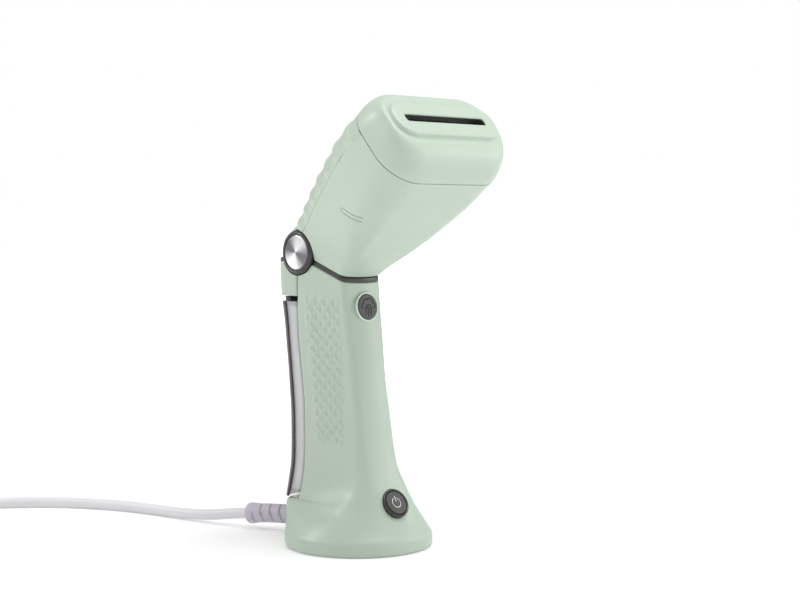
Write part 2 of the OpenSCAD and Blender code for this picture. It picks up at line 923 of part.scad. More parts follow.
module strain_relief() {
    relief_len = 46;
    color(pale)
        at_exit() {
            translate([0, 0, -6.6])
                cylinder(r = 6.4, h = 1.4);
            translate([0, 0, -5.3])
                cylinder(r = 5.2, h = 7.6);
            // tapered body with grooves
            difference() {
                translate([0, 0, 2.2])
                    cylinder(r1 = 6.2, r2 = 5.2, h = relief_len - 2.2);
                for (i = [0 : 7])
                    translate([0, 0, 6 + i * 5])
                        for (side = [0, 1])
                            rotate([0, 0, 90 * (i % 2) + 180 * side])
                                translate([3.9, -8, 0])
                                    cube([6, 16, 2]);
                translate([0, 0, 12])
                    cylinder(r = 3.6, h = relief_len);
            }
        }
}

module power_cord() {
    color(pale)
        tube(spline(lead_route, 3), [cord_d / 2], 10);
}

module cord_coil() {
    half = coil_columns * cord_d / 2;
    color(pale)
        translate([coil_at.x, coil_at.y, 0])
            rotate_extrude()
                translate([coil_mid - half, 0])
                    square([2 * half, 2 * cord_d]);
}

module cord_tail() {
    color(pale)
        tube(spline(tail_route, 3), [cord_d / 2], 10);
}

// Strap round the bundle of turns
module cord_tie() {
    gap = 0.5;
    t = 1.2;
    half = coil_columns * cord_d / 2 + gap;
    color(dark)
        translate([coil_at.x + coil_mid, coil_at.y, 0])
            difference() {
                translate([-half - t, -4, 0])
                    cube([2 * (half + t), 8, 2 * cord_d + gap + t]);
                translate([-half, -5, -1])
                    cube([2 * half, 10, 2 * cord_d + gap + 1]);
            }
}

module plug_body() {
    color(pale)
        translate([plug_x, 0, plug_z])
            difference() {
                union() {
                    translate([0, 158, 0])
                        rotate([90, 0, 0])
                            cylinder(r1 = 5, r2 = 6.6, h = 22);
                    translate([-11, 118, -7.9])
                        cube([22, 22, 15.8]);
                    translate([-17.5, 114, -7.9])
                        cube([35, 6, 15.8]);
                }
                translate([0, 159, 0])
                    rotate([90, 0, 0])
                        cylinder(r = 3.7, h = 8);
            }
}

module plug_pins() {
    color(metal)
        for (side = [-1, 1])
            translate([plug_x + side * 9.5, 114, plug_z])
                rotate([90, 0, 0])
                    cylinder(r = 2.4, h = 19);
}

foot_pad();
base_plate();
handle_shell();
rear_top_cap();
neck_trim();
rear_trim();
chassis();
water_tank();
tank_spine();
tank_stopper();
tank_valve();
tank_latch();
valve_seat();
pump();
pump_hose();
trigger_bezel();
trigger_button();
trigger_spring();
trigger_switch();
power_bezel();
power_button();
power_spring();
power_switch();
control_board();
lead_wires();
hinge_axle();
hinge_ring_left();
hinge_ring_right();
hinge_cap_left();
hinge_cap_right();
head_knuckle();
head_shell();
head_rear_cover();
nozzle_cap();
steam_plate();
boiler();
heating_element();
thermostat();
thermal_fuse();
steam_hose();
base_screws();
boiler_screws();
strain_relief();
power_cord();
cord_coil();
cord_tail();
cord_tie();
plug_body();
plug_pins();
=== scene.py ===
import json
import math

import bpy
import numpy as np
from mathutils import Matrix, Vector


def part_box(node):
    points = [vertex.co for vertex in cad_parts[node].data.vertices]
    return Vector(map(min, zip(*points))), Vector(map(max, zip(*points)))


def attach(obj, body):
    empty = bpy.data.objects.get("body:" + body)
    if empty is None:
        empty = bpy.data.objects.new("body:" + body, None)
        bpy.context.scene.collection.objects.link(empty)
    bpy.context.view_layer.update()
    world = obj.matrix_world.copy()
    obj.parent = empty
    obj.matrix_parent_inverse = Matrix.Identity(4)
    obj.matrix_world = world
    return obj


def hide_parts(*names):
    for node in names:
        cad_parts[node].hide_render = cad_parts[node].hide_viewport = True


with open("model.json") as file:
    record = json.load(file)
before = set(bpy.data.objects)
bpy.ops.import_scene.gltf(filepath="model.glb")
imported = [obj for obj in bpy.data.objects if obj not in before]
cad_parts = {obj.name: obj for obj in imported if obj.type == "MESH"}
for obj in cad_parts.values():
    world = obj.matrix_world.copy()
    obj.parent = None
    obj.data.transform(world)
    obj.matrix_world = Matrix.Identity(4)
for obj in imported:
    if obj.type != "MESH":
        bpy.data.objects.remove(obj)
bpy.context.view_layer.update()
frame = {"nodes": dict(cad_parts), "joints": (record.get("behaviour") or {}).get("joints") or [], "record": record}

# Lengths below are in millimetres; M turns them into the frame's metres.
M = 0.001
# Edges that turn by more than these angles are shaded sharp, or rounded off
SMOOTH_ANGLE, SOFTEN_ANGLE = 32, 40


# ---------- what the frame says ----------

def joint(name):
    return next(j for j in frame["joints"] if j["name"] == name)


def box_mm(node):
    low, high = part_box(node)
    return np.array(low) / M, np.array(high) / M


def middle(node):
    low, high = box_mm(node)
    return (low + high) / 2


PIVOT = np.array(joint("head_fold")["pos_m"])[1:] / M
BASE_R = box_mm("handle_shell")[1][0]
WALL = 2.2
RIM_H = 7.0
TRIM_T = 2.6
SEAM_SLOPE = math.radians(21.5)
CAP_SLOPE = math.radians(10.5)
NECK_HALF = 15.6
SEAM_FRONT = np.array([-5.5, PIVOT[1] - (PIVOT[0] + 5.5) * math.tan(SEAM_SLOPE)])
RING_R = (box_mm("hinge_ring_left")[1][2] - box_mm("hinge_ring_left")[0][2]) / 2
CAP_R = (box_mm("hinge_cap_left")[1][2] - box_mm("hinge_cap_left")[0][2]) / 2
HINGE_GAP_R = RING_R + 0.6
HEAD_TILT = math.radians(41.8)
SLOT_AT = np.array([-74.8, 252.8])
HEAD_HALF = box_mm("nozzle_cap")[1][0]


def new_object(name, data):
    obj = bpy.data.objects.new(name, data)
    bpy.context.scene.collection.objects.link(obj)
    return obj


# ---------- camera ----------

def make_camera():
    heading, down, lens = 43.4, 2.669, 72.96
    data = bpy.data.cameras.new("camera")
    data.lens = lens
    data.sensor_width = 36
    camera = new_object("camera", data)
    camera.location = (-0.652, -0.7262, 0.1934)
    camera.rotation_euler = (math.radians(90 - down), 0, -math.radians(heading))
    bpy.context.scene.camera = camera


make_camera()


# ---------- curves and outlines ----------

def smooth_through(xs, ys):
    """A curve through the points that never overshoots them (monotone cubic)."""
    xs, ys = np.array(xs, float), np.array(ys, float)
    h, d = np.diff(xs), np.diff(ys) / np.diff(xs)
    m = np.concatenate([[d[0]], np.zeros(len(xs) - 2), [d[-1]]])
    for i in range(1, len(xs) - 1):
        if d[i - 1] * d[i] > 0:
            a, b = 2 * h[i] + h[i - 1], h[i] + 2 * h[i - 1]
            m[i] = (a + b) / (a / d[i - 1] + b / d[i])

    def at(x):
        i = int(np.clip(np.searchsorted(xs, x) - 1, 0, len(xs) - 2))
        t = (x - xs[i]) / h[i]
        return ((2 * t ** 3 - 3 * t ** 2 + 1) * ys[i] + (t ** 3 - 2 * t ** 2 + t) * h[i] * m[i]
                + (3 * t ** 2 - 2 * t ** 3) * ys[i + 1] + (t ** 3 - t ** 2) * h[i] * m[i + 1])
    return at


def table_curve(keys, rows):
    """One smooth curve for each column of a station table."""
    curves = [smooth_through(keys, column) for column in zip(*rows)]
    return lambda x: [curve(x) for curve in curves]


def arc(cx, cy, r, a0, a1, n):
    a = np.linspace(a0, a1, n)
    return np.stack([cx + r * np.cos(a), cy + r * np.sin(a)], 1)


class Outline:
    """Points of a ring: front edge, front corner, side, rear corner and rear edge of each half."""

    def __init__(self, front, fore, side, aft, rear):
        self.front, self.fore, self.side, self.aft, self.rear = front, fore, side, aft, rear
        self.half = front + fore + side + aft + rear
        self.count = 2 * self.half - 2
        # first point of the rear corner on the right, and the last one on the left
        self.aft_first = front + fore + side
        self.aft_last = self.count - self.aft_first

    def flat(self, wf, rf, wr, rr, h, bulge, split=None, lift=None):
        x1, x2 = wf - rf, wr - rr
        dx, dy = x2 - x1, h - rr - rf
        tilt = math.asin((rf - rr) / math.hypot(dx, dy)) - math.atan2(dx, dy)
        fore = arc(x1, rf, rf, -math.pi / 2, tilt, self.fore)
        aft = arc(x2, h - rr, rr, tilt, math.pi / 2, self.aft)
        p0, p1 = fore[-1], aft[0]
        turn = 0.5 if split is None else (split - p0[1]) / (p1[1] - p0[1])
        k = self.side // 2
        share = np.concatenate([np.linspace(0, turn, k + 1)[1:],
                                np.linspace(turn, 1, self.side - k + 2)[1:-1]])[:, None]
        side = p0 + (p1 - p0) * share
        if lift is not None:
            side[:, 0] += lift(side[:, 1])
        x = np.linspace(0, x1, self.front, endpoint=False)
        front = np.stack([x, np.zeros(self.front)], 1)
        x = np.linspace(x2, 0, self.rear + 1)[1:]
        rear = np.stack([x, np.full(self.rear, h)], 1)
        half = np.concatenate([front, fore, side, aft, rear])
        near = half[:, 1] < h / 2
        half[near, 1] -= bulge * np.maximum(0, 1 - (half[near, 0] / wf) ** 2)
        other = half[-2:0:-1] * [-1, 1]
        return np.concatenate([half, other])

    def ring(self, station, inset=0.0, knee=None, lift=None):
        """One ring in space. A station is front y, z, rear y, z, wf, rf, wr, rr, bulge."""
        front, rear = np.array(station[:2]), np.array(station[2:4])
        wf, rf, wr, rr, bulge = station[4:]
        mid = (front + rear) / 2 if knee is None else np.array(knee)
        a, b = np.linalg.norm(mid - front), np.linalg.norm(rear - mid)
        e0, e1 = (mid - front) / a, (rear - mid) / b
        flat = self.flat(wf - inset, max(rf - inset, 0.8), wr - inset, max(rr - inset, 0.8),
                         a + b - 2 * inset, bulge, None if knee is None else a - inset, lift)
        d = flat[:, 1] + inset
        place = np.where((d < a)[:, None], front + d[:, None] * e0, mid + (d - a)[:, None] * e1)
        return np.column_stack([flat[:, 0], place])


# ---------- meshes ----------

def quads(rows, looped=False):
    m, n = len(rows), len(rows[0])
    faces = []
    for i in range(m if looped else m - 1):
        k = (i + 1) % m
        faces += [(i * n + j, k * n + j, k * n + (j + 1) % n, i * n + (j + 1) % n) for j in range(n)]
    return faces


def skin(rows, looped=False):
    """Closed surface through equal rings; without looped the first and last ring are capped."""
    m, n = len(rows), len(rows[0])
    faces = quads(rows, looped)
    if not looped:
        faces += [tuple(range(n)), tuple((m - 1) * n + j for j in range(n - 1, -1, -1))]
    return np.concatenate(rows), faces


def band(outer, inner, first, last):
    """Closed strip of two skins, from ring point first to point last, with the wall between them."""
    n = len(outer[0])
    pick = [j % n for j in range(first, last + 1)]
    rows = [np.concatenate([o[pick], i[pick[::-1]]]) for o, i in zip(outer, inner)]
    k, w, m = len(rows[0]), len(pick), len(rows)
    faces = quads(rows)
    for base, flip in ((0, False), ((m - 1) * k, True)):
        for j in range(w - 1):
            face = (base + j, base + j + 1, base + k - 2 - j, base + k - 1 - j)
            faces.append(face[::-1] if flip else face)
    return np.concatenate(rows), faces


def join(*parts):
    points, faces = [], []
    for p, f in parts:
        start = sum(len(x) for x in points)
        points.append(np.asarray(p, float))
        faces += [tuple(start + i for i in face) for face in f]
    return np.concatenate(points), faces


def lathe(profile, sides=96):
    """Solid of revolution round Z from a closed list of (radius, height)."""
    angles = np.arange(sides) * 2 * math.pi / sides
    rows = [np.column_stack([r * np.cos(angles), r * np.sin(angles), np.full(sides, h)])
            for r, h in profile]
    return skin(rows, looped=True)


def rounded(profile, radius, steps=4):
    """The profile with each corner off the axis replaced by a short curve."""
    out = []
    for i, p in enumerate(profile):
        p = np.array(p, float)
        a, b = np.array(profile[i - 1], float), np.array(profile[(i + 1) % len(profile)], float)
        if p[0] < 1e-6:
            out.append(tuple(p))
            continue
        la, lb = np.linalg.norm(a - p), np.linalg.norm(b - p)
        cut = min(radius, la * 0.45, lb * 0.45)
        p0, p1 = p + (a - p) / la * cut, p + (b - p) / lb * cut
        for t in np.linspace(0, 1, steps + 1):
            out.append(tuple((1 - t) ** 2 * p0 + 2 * t * (1 - t) * p + t * t * p1))
    return out


def add_object(name, points, faces, material, smooth=SMOOTH_ANGLE):
    mesh = bpy.data.meshes.new(name)
    mesh.from_pydata((np.asarray(points) * M).tolist(), [], faces)
    mesh.update()
    obj = new_object(name, mesh)
    clean(obj)
    for m in material if isinstance(material, list) else [material]:
        mesh.materials.append(m)
    shade(obj, smooth)
    return obj


def clean(obj):
    """Merges doubled points and turns every face outward."""
    import bmesh
    b = bmesh.new()
    b.from_mesh(obj.data)
    bmesh.ops.remove_doubles(b, verts=b.verts, dist=1e-6)
    bmesh.ops.dissolve_degenerate(b, edges=b.edges, dist=1e-7)
    bmesh.ops.recalc_face_normals(b, faces=b.faces)
    b.to_mesh(obj.data)
    b.free()


def shade(obj, angle):
    obj.data.shade_smooth()
    obj.data.set_sharp_from_angle(angle=math.radians(angle))


def apply_modifiers(obj):
    graph = bpy.context.evaluated_depsgraph_get()
    made = bpy.data.meshes.new_from_object(obj.evaluated_get(graph))
    old = obj.data
    obj.modifiers.clear()
    obj.data = made
    bpy.data.meshes.remove(old)


def cut(obj, parts, operation="DIFFERENCE"):
    """Takes the given closed surfaces out of obj, or keeps what lies inside them."""
    for points, faces in parts:
        tool = add_object("tool", points, faces, obj.data.materials[0])
        modifier = obj.modifiers.new("cut", "BOOLEAN")
        modifier.operation = operation
        modifier.solver = "MANIFOLD"
        modifier.object = tool
        apply_modifiers(obj)
        bpy.data.objects.remove(tool)
    shade(obj, SMOOTH_ANGLE)


def soften(obj, width, steps=2):
    """Rounds the sharp edges of a moulded piece."""
    modifier = obj.modifiers.new("soften", "BEVEL")
    modifier.width = width * M
    modifier.segments = steps
    modifier.limit_method = "ANGLE"
    modifier.angle_limit = math.radians(SOFTEN_ANGLE)
    apply_modifiers(obj)
    shade(obj, SMOOTH_ANGLE)


def piece(obj, body, slot, *nodes):
    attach(obj, body)
    if nodes:
        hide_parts(*nodes)
    return obj


def add_piece(name, shape, body, slot, *nodes, smooth=SMOOTH_ANGLE):
    """Piece that wears its slot's own material as it is."""
    return piece(add_object(name, *shape, MATERIALS[slot], smooth), body, slot, *nodes)


def along_axis(origin, axis, up=(0, 0, 1)):
    """Frame whose Z is the axis, as (origin, 3x3 with columns X, Y, Z)."""
    z = np.array(axis, float) / np.linalg.norm(axis)
    x = np.cross(up, z)
    x = x / np.linalg.norm(x)
    return np.array(origin, float), np.column_stack([x, np.cross(z, x), z])


def placed(shape, place):
    points, faces = shape
    origin, turn = place
    return np.asarray(points) @ turn.T + origin, faces


def rod(radius, x0, x1, sides=160):
    """Cylinder along X round the fold axis."""
    profile = [(0, x0), (radius, x0), (radius, x1), (0, x1)]
    return placed(lathe(profile, sides), along_axis((0, *PIVOT), (1, 0, 0)))


def block(low, high):
    (x0, y0, z0), (x1, y1, z1) = low, high
    rows = [np.array([[x0, y0, z], [x1, y0, z], [x1, y1, z], [x0, y1, z]], float) for z in (z0, z1)]
    return skin(rows)


# ---------- materials ----------

class Look:
    """Node tree of a material, or of the world."""

    def __init__(self, owner):
        owner.use_nodes = True
        self.owner, self.tree = owner, owner.node_tree

    def feed(self, node, *values, **named):
        """Sets inputs, or joins them to the outputs given. In a name, _ stands for a space."""
        pairs = list(enumerate(values)) + [(n.replace("_", " "), value) for n, value in named.items()]
        for key, value in pairs:
            if isinstance(value, bpy.types.NodeSocket):
                self.tree.links.new(value, node.inputs[key])
            else:
                node.inputs[key].default_value = value

    def add(self, kind, output, *values, **named):
        """Output of a new node. Names in lower case are settings, the others are inputs."""
        node = self.tree.nodes.new("ShaderNode" + kind)
        for key in [name for name in named if name.islower()]:
            setattr(node, key, named.pop(key))
        self.feed(node, *values, **named)
        return node.outputs[output]

    def noise(self, scale, detail=3.0, rough=0.5, squeeze=None):
        """Noise over the piece's own coordinates, in metres."""
        where = self.add("TexCoord", "Object")
        if squeeze is not None:
            where = self.add("Mapping", "Vector", Vector=where, Scale=squeeze)
        return self.add("TexNoise", "Fac", Vector=where, Scale=scale, Detail=detail, Roughness=rough)

    def ramp(self, source, low, high, low_value, high_value):
        return self.add("MapRange", "Result", source, low, high, low_value, high_value)

    def mix(self, factor, *colours):
        a, b = [(*c, 1) if isinstance(c, tuple) else c for c in colours]
        return self.add("Mix", "Result", data_type="RGBA", Factor=factor, A=a, B=b)

    def bump(self, height, distance, strength):
        return self.add("Bump", "Normal", Distance=distance, Strength=strength, Height=height)

    def material(self, **inputs):
        self.feed(self.tree.nodes["Principled BSDF"], **inputs)
        return self.owner


def tinted(colour, factor):
    return tuple(min(1.0, c * factor) for c in colour)


def moulded(name, colour, rough, spread=0.03, grain=2600, depth=0.00001, wear=1.12):
    """Moulded plastic or rubber: faint mottling, fine spark grain and paler rubbed edges."""
    look = Look(bpy.data.materials.new(name))
    tone = look.mix(look.ramp(look.noise(38, 4), 0.3, 0.7, 0, 1),
                    tinted(colour, 1 - spread), tinted(colour, 1 + spread))
    rubbed = look.ramp(look.add("NewGeometry", "Pointiness"), 0.52, 0.6, 0, 0.6)
    fine, smear = look.noise(grain, 2, 0.6), look.noise(90, 3)
    return look.material(Base_Color=look.mix(rubbed, tone, tinted(colour, wear)),
                         Roughness=look.ramp(smear, 0.3, 0.7, rough * 0.9, rough * 1.1),
                         Normal=look.bump(fine, depth, 0.7))


def metal(name, colour, rough, squeeze=(1, 1, 1), depth=0.000006, scale=900):
    """Metal with fine scratches, drawn out where squeeze says so."""
    look = Look(bpy.data.materials.new(name))
    lines, patches = look.noise(scale, 4, 0.6, squeeze), look.noise(60, 3)
    tone = look.mix(look.ramp(patches, 0.3, 0.7, 0, 1), tinted(colour, 0.92), tinted(colour, 1.06))
    return look.material(Base_Color=tone, Normal=look.bump(lines, depth, 0.6), Metallic=1,
                         Roughness=look.ramp(lines, 0.3, 0.7, rough * 0.8, rough * 1.25))


def spun_metal():
    """Turned cap: fine rings round its own middle, and a painted reflection of bright and dark sectors in its
    colour.
    """
    look = Look(bpy.data.materials.new("spun_metal"))
    where = look.add("TexCoord", "Object")
    y, z = [look.add("SeparateXYZ", axis, where) for axis in "YZ"]
    flat = look.add("CombineXYZ", "Vector", Y=y, Z=z)
    radius = look.add("VectorMath", "Value", flat, operation="LENGTH")
    rings = look.add("TexNoise", "Fac", noise_dimensions="1D", W=radius, Scale=9000, Detail=4)
    # painted reflection: two bright and two dark sectors painted into the colour, as turned metal shows under a
    # soft light
    turn = look.add("Math", "Value", z, y, operation="ARCTAN2")
    fans = look.add("Math", "Value", turn, 2, 2.2, operation="MULTIPLY_ADD")
    wave = look.add("Math", "Value", fans, operation="COSINE")
    shaded = look.mix(look.ramp(wave, -0.9, 0.8, 0, 1), (0.16, 0.16, 0.17), (0.95, 0.95, 0.96))
    fine = look.ramp(rings, 0.3, 0.7, 0, 0.22)
    return look.material(Base_Color=look.mix(fine, shaded, (0.30, 0.30, 0.31)),
                         Normal=look.bump(rings, 0.000005, 0.5), Metallic=1, Roughness=0.28)


def clear_plastic():
    look = Look(bpy.data.materials.new("clear_plastic"))
    haze = look.noise(45, 3)
    return look.material(Base_Color=look.mix(haze, (0.90, 0.91, 0.92), (0.96, 0.97, 0.97)),
                         Roughness=look.ramp(haze, 0.3, 0.7, 0.05, 0.12), Alpha=0.38, IOR=1.49)


def circuit_board():
    look = Look(bpy.data.materials.new("circuit_board"))
    tracks = look.add("TexBrick", "Color", Vector=look.add("TexCoord", "Object"), Scale=260,
                      Color1=(0.02, 0.14, 0.06, 1), Color2=(0.03, 0.18, 0.08, 1),
                      Mortar=(0.08, 0.30, 0.14, 1))
    gaps = tracks.node.outputs["Fac"]
    return look.material(Base_Color=tracks, Normal=look.bump(gaps, 0.00002, 0.5), Roughness=0.4)


GREEN = (0.425, 0.515, 0.425)
MATERIALS = {
    "green_shell": moulded("green_shell", GREEN, 0.42, spread=0.012, wear=1.05),
    "light_green_trim": moulded("light_green_trim", (0.56, 0.68, 0.57), 0.28, spread=0.01),
    "dark_trim": moulded("dark_trim", (0.035, 0.034, 0.033), 0.32, spread=0.08, wear=1.5),
    "dark_plastic": moulded("dark_plastic", (0.03, 0.03, 0.032), 0.5, spread=0.1, wear=1.4),
    "clear_tank": clear_plastic(),
    "rubber_part": moulded("rubber_part", (0.03, 0.03, 0.03), 0.75, spread=0.12, depth=0.00003),
    "pale_plastic": moulded("pale_plastic", (0.62, 0.62, 0.60), 0.45, spread=0.03),
    "steel": metal("steel", (0.60, 0.60, 0.61), 0.3, squeeze=(0.1, 1, 1)),
    "brushed_cap": spun_metal(),
    "cast_aluminium": metal("cast_aluminium", (0.58, 0.58, 0.59), 0.5, depth=0.00004, scale=500),
    "silicone_hose": moulded("silicone_hose", (0.70, 0.70, 0.66), 0.4, spread=0.04),
    "wire_cover": moulded("wire_cover", (0.35, 0.05, 0.04), 0.4, spread=0.06),
    "board": circuit_board(),
    "brass_part": metal("brass_part", (0.72, 0.52, 0.24), 0.32),
    "plug_pins": metal("plug_pins", (0.72, 0.71, 0.68), 0.25, squeeze=(1, 0.1, 1)),
    "lead_cover": moulded("lead_cover", (0.66, 0.66, 0.68), 0.5, spread=0.03, wear=1.04),
}
RELIEF_COVER = moulded("relief_cover", (0.50, 0.465, 0.53), 0.5, spread=0.04)
MARK_WHITE = moulded("mark_white", (0.75, 0.75, 0.74), 0.5, spread=0.04)
MARK_DARK = moulded("mark_dark", (0.008, 0.008, 0.008), 0.6, spread=0.1)
BUTTON_GREY = moulded("button_grey", (0.062, 0.062, 0.060), 0.5, spread=0.2, grain=1500, depth=0.00004)

for part in frame["record"]["subparts"]:
    mesh = frame["nodes"][part["node"]].data
    mesh.materials.clear()
    mesh.materials.append(MATERIALS[part["material_slot"]])


# ---------- mains lead ----------

CORD_D = 7.0
CORD_EXIT = (0, 44.4, 11)
LEAD_ROUTE = [
    (-4, 56, 11), (-8, 67, 10.8), (-12, 78, 10.2), (-16, 90, 9), (-19, 101, 7.6),
    (-22, 112, 6), (-25, 125, 4.6), (-28, 140, 3.8), (-31, 157, 3.5), (-35, 176, 3.5),
    (-41, 195, 3.5), (-50, 214, 3.5), (-62, 232, 3.5), (-78, 248, 3.5), (-97, 262, 3.5),
    (-118, 272, 3.5), (-140, 279, 3.5), (-160, 282, 3.5), (-178, 282.5, 3.5)]
TAIL_ROUTE = [
    (-222.5, 238, 10.5), (-222.5, 226, 10.4), (-222.5, 214, 9.4), (-222, 202, 7.6),
    (-221, 190, 6), (-220, 178, 5.6), (-219, 167, 6.6), (-218.5, 158, 8)]
COIL_AT = np.array([-178, 238])
COIL_MID = 37.5
# Radius and height of each turn: the lower layer inward, then the upper layer outward
COIL_TURNS = [(COIL_MID + s * CORD_D, z) for z, order in ((3.5, (1, 0, -1)), (10.5, (-1, 0, 1)))
              for s in order]


def spline(points, pieces):
    """Smooth curve through given points, as the CAD model draws it."""
    p = np.array(points, float)
    out = []
    for i in range(len(p) - 1):
        p0, p3 = p[max(i - 1, 0)], p[min(i + 2, len(p) - 1)]
        for t in np.linspace(0, 1, pieces, endpoint=False):
            out.append(0.5 * (2 * p[i] + (p[i + 1] - p0) * t
                              + (2 * p0 - 5 * p[i] + 4 * p[i + 1] - p3) * t * t
                              + (3 * p[i] - 3 * p[i + 1] + p3 - p0) * t ** 3))
    return np.array(out + [p[-1]])


def coil_points():
    start, end, step, shift = 90, 180 + 5 * 360, 6, 80
    points = []
    for a in np.arange(start + step, end, step):
        k = min(int((a - start) // 360), len(COIL_TURNS) - 1)
        r, z = COIL_TURNS[k]
        left = 360 - (a - start) % 360
        if left < shift and k + 1 < len(COIL_TURNS):
            t = 1 - left / shift
            t = t * t * (3 - 2 * t)
            r += (COIL_TURNS[k + 1][0] - r) * t
            z += (COIL_TURNS[k + 1][1] - z) * t
        turn = math.radians(a)
        points.append((COIL_AT[0] + r * math.cos(turn), COIL_AT[1] + r * math.sin(turn), z))
    return np.array(points)


def cord_line():
    lead = spline([CORD_EXIT] + LEAD_ROUTE, 6)
    tail = spline(TAIL_ROUTE, 6)
    # the last few millimetres lie inside the plug's own sleeve
    return np.concatenate([lead, coil_points(), tail, [[-218.3, 154, 8]]])


CORD_LINE = cord_line()


def make_cord():
    curve = bpy.data.curves.new("power_lead", "CURVE")
    curve.dimensions = "3D"
    curve.bevel_depth = CORD_D / 2 * M
    curve.bevel_resolution = 6
    curve.use_fill_caps = True
    line = curve.splines.new("POLY")
    line.points.add(len(CORD_LINE) - 1)
    for point, place in zip(line.points, CORD_LINE):
        point.co = (*(place * M), 1)
    line.use_smooth = True
    obj = new_object("power_lead", curve)
    curve.materials.append(MATERIALS["lead_cover"])
    return piece(obj, "handle", "lead_cover", "power_cord", "cord_coil", "cord_tail")


def tube_rows(line, radii, sides):
    """Rings round a line; radii is a number of rings by number of sides table or one number each."""
    rows = []
    angles = np.arange(sides) * 2 * math.pi / sides
    for i, centre in enumerate(line):
        along = line[min(i + 1, len(line) - 1)] - line[max(i - 1, 0)]
        along = along / np.linalg.norm(along)
        across = np.cross(along, (0, 0, 1))
        across = across / np.linalg.norm(across)
        up = np.cross(across, along)
        r = radii[i] * np.ones(sides)
        rows.append(centre + np.outer(r * np.cos(angles), across) + np.outer(r * np.sin(angles), up))
    return rows


def make_relief():
    """Tapered sleeve with slots that alternate between its top and bottom, and a rolled end."""
    length, first, pitch, sides = 46.0, 7.0, 7.0, 72
    line = spline([CORD_EXIT] + LEAD_ROUTE[:5], 60)
    along = np.concatenate([[0], np.cumsum(np.linalg.norm(np.diff(line, axis=0), axis=1))])
    at = np.concatenate([np.linspace(0.4, length - 2.5, 190), length - 2.5 + 2.5 * np.sin(
        np.linspace(0.1, math.pi / 2, 9))])
    centre = np.stack([np.interp(at, along, line[:, k]) for k in range(3)], 1)
    angles = np.arange(sides) * 2 * math.pi / sides
    body = smooth_through([0, 2, 8, 36, 41, 43.5, length], [6.9, 6.5, 6.2, 6.0, 6.5, 6.7, 6.7])
    radii = []
    for s in at:
        r = np.full(sides, body(min(s, 43.5)))
        if s > length - 2.5:
            t = (s - length + 2.5) / 2.5
            r = r - 2.4 * (1 - math.sqrt(max(0.0, 1 - t * t)))
        for k in range(5):
            for half, side in ((0, 1), (0.5, -1)):
                middle_at = first + (k + half) * pitch + 1.1 * side * np.cos(angles)
                across = np.clip((np.sin(angles) * side + 0.28) / 0.2, 0, 1)
                if first + (k + half) * pitch < length - 7:
                    r = r - 0.95 * across * np.clip(1.5 - np.abs(s - middle_at) / 0.42, 0, 1)
        radii.append(r)
    rows = tube_rows(centre, radii, sides)
    bore = CORD_D / 2 + 0.12
    tip = tube_rows(centre[-2:], [bore] * 2, sides)[1]
    deep = tube_rows(centre[-24:], [bore] * 24, sides)[0]
    back = tube_rows(centre[:2], [bore] * 2, sides)[0]
    sleeve = add_object("cord_strain_relief", *skin(rows + [tip, deep, back], looped=True),
                        RELIEF_COVER, 40)
    return piece(sleeve, "handle", "lead_cover", "strain_relief")


def superellipse(a, b, power, sides=64):
    t = np.arange(sides) * 2 * math.pi / sides
    c, s = np.cos(t), np.sin(t)
    return np.stack([a * np.sign(c) * np.abs(c) ** (2 / power),
                     b * np.sign(s) * np.abs(s) ** (2 / power)], 1)


def make_plug():
    low, high = box_mm("plug_body")
    x, z = (low[0] + high[0]) / 2, (low[2] + high[2]) / 2
    front, back = low[1], high[1]
    half, tall = (high[0] - low[0]) / 2, (high[2] - low[2]) / 2
    # distance from the front face, half width, half height and squareness of each section
    sections = [(0, half - 1.2, tall - 1.2, 5), (0.4, half - 0.4, tall - 0.4, 5), (1.2, half, tall, 5),
                (4.2, half, tall, 5), (5.4, half - 0.8, tall, 5), (7, 12.4, tall - 0.1, 4),
                (9.5, 11.1, tall - 0.3, 4), (20, 10.4, 7.3, 3.6), (24, 8.8, 6.9, 3),
                (26.5, 6.9, 6.5, 2.2), (29, 6.4, 6.2, 2), (41, 5.4, 5.3, 2),
                (43.4, 5.1, 5.0, 2), (44, 4.4, 4.4, 2)]
    curve = table_curve([s[0] for s in sections], [s[1:] for s in sections])
    rows = []
    for d in np.concatenate([np.linspace(0, 1.2, 5), np.linspace(1.8, 43.4, 150), [43.8, 44]]):
        a, b, power = curve(d)
        grip = 0.35 * max(0, math.sin(d * 2 * math.pi / 3.2)) if 10 < d < 23 else 0
        slit = 0.6 if 29 < d < 42 and (d - 29) % 3 < 0.9 else 0
        ring = superellipse(a - grip - slit, b - grip * 0.4 - slit, power)
        rows.append(np.column_stack([x + ring[:, 0], np.full(len(ring), front + d), z + ring[:, 1]]))
    hole = superellipse(CORD_D / 2 + 0.1, CORD_D / 2 + 0.1, 2)
    rows += [np.column_stack([x + hole[:, 0], np.full(len(hole), back - d), z + hole[:, 1]])
             for d in (0, 7)]
    return add_piece("plug", skin(rows), "handle", "lead_cover", "plug_body", smooth=38)


def make_pins():
    low, high = box_mm("plug_pins")
    radius = (high[2] - low[2]) / 2
    shapes = []
    for x in (low[0] + radius, high[0] - radius):
        length = high[1] - low[1]
        profile = rounded([(0, 0), (radius, 0), (radius, length), (0, length)], 0.9)
        place = along_axis((x, high[1], (low[2] + high[2]) / 2), (0, -1, 0))
        shapes.append(placed(lathe(profile, 48), place))
    return add_piece("plug_contact_pins", join(*shapes), "handle", "plug_pins", "plug_pins")


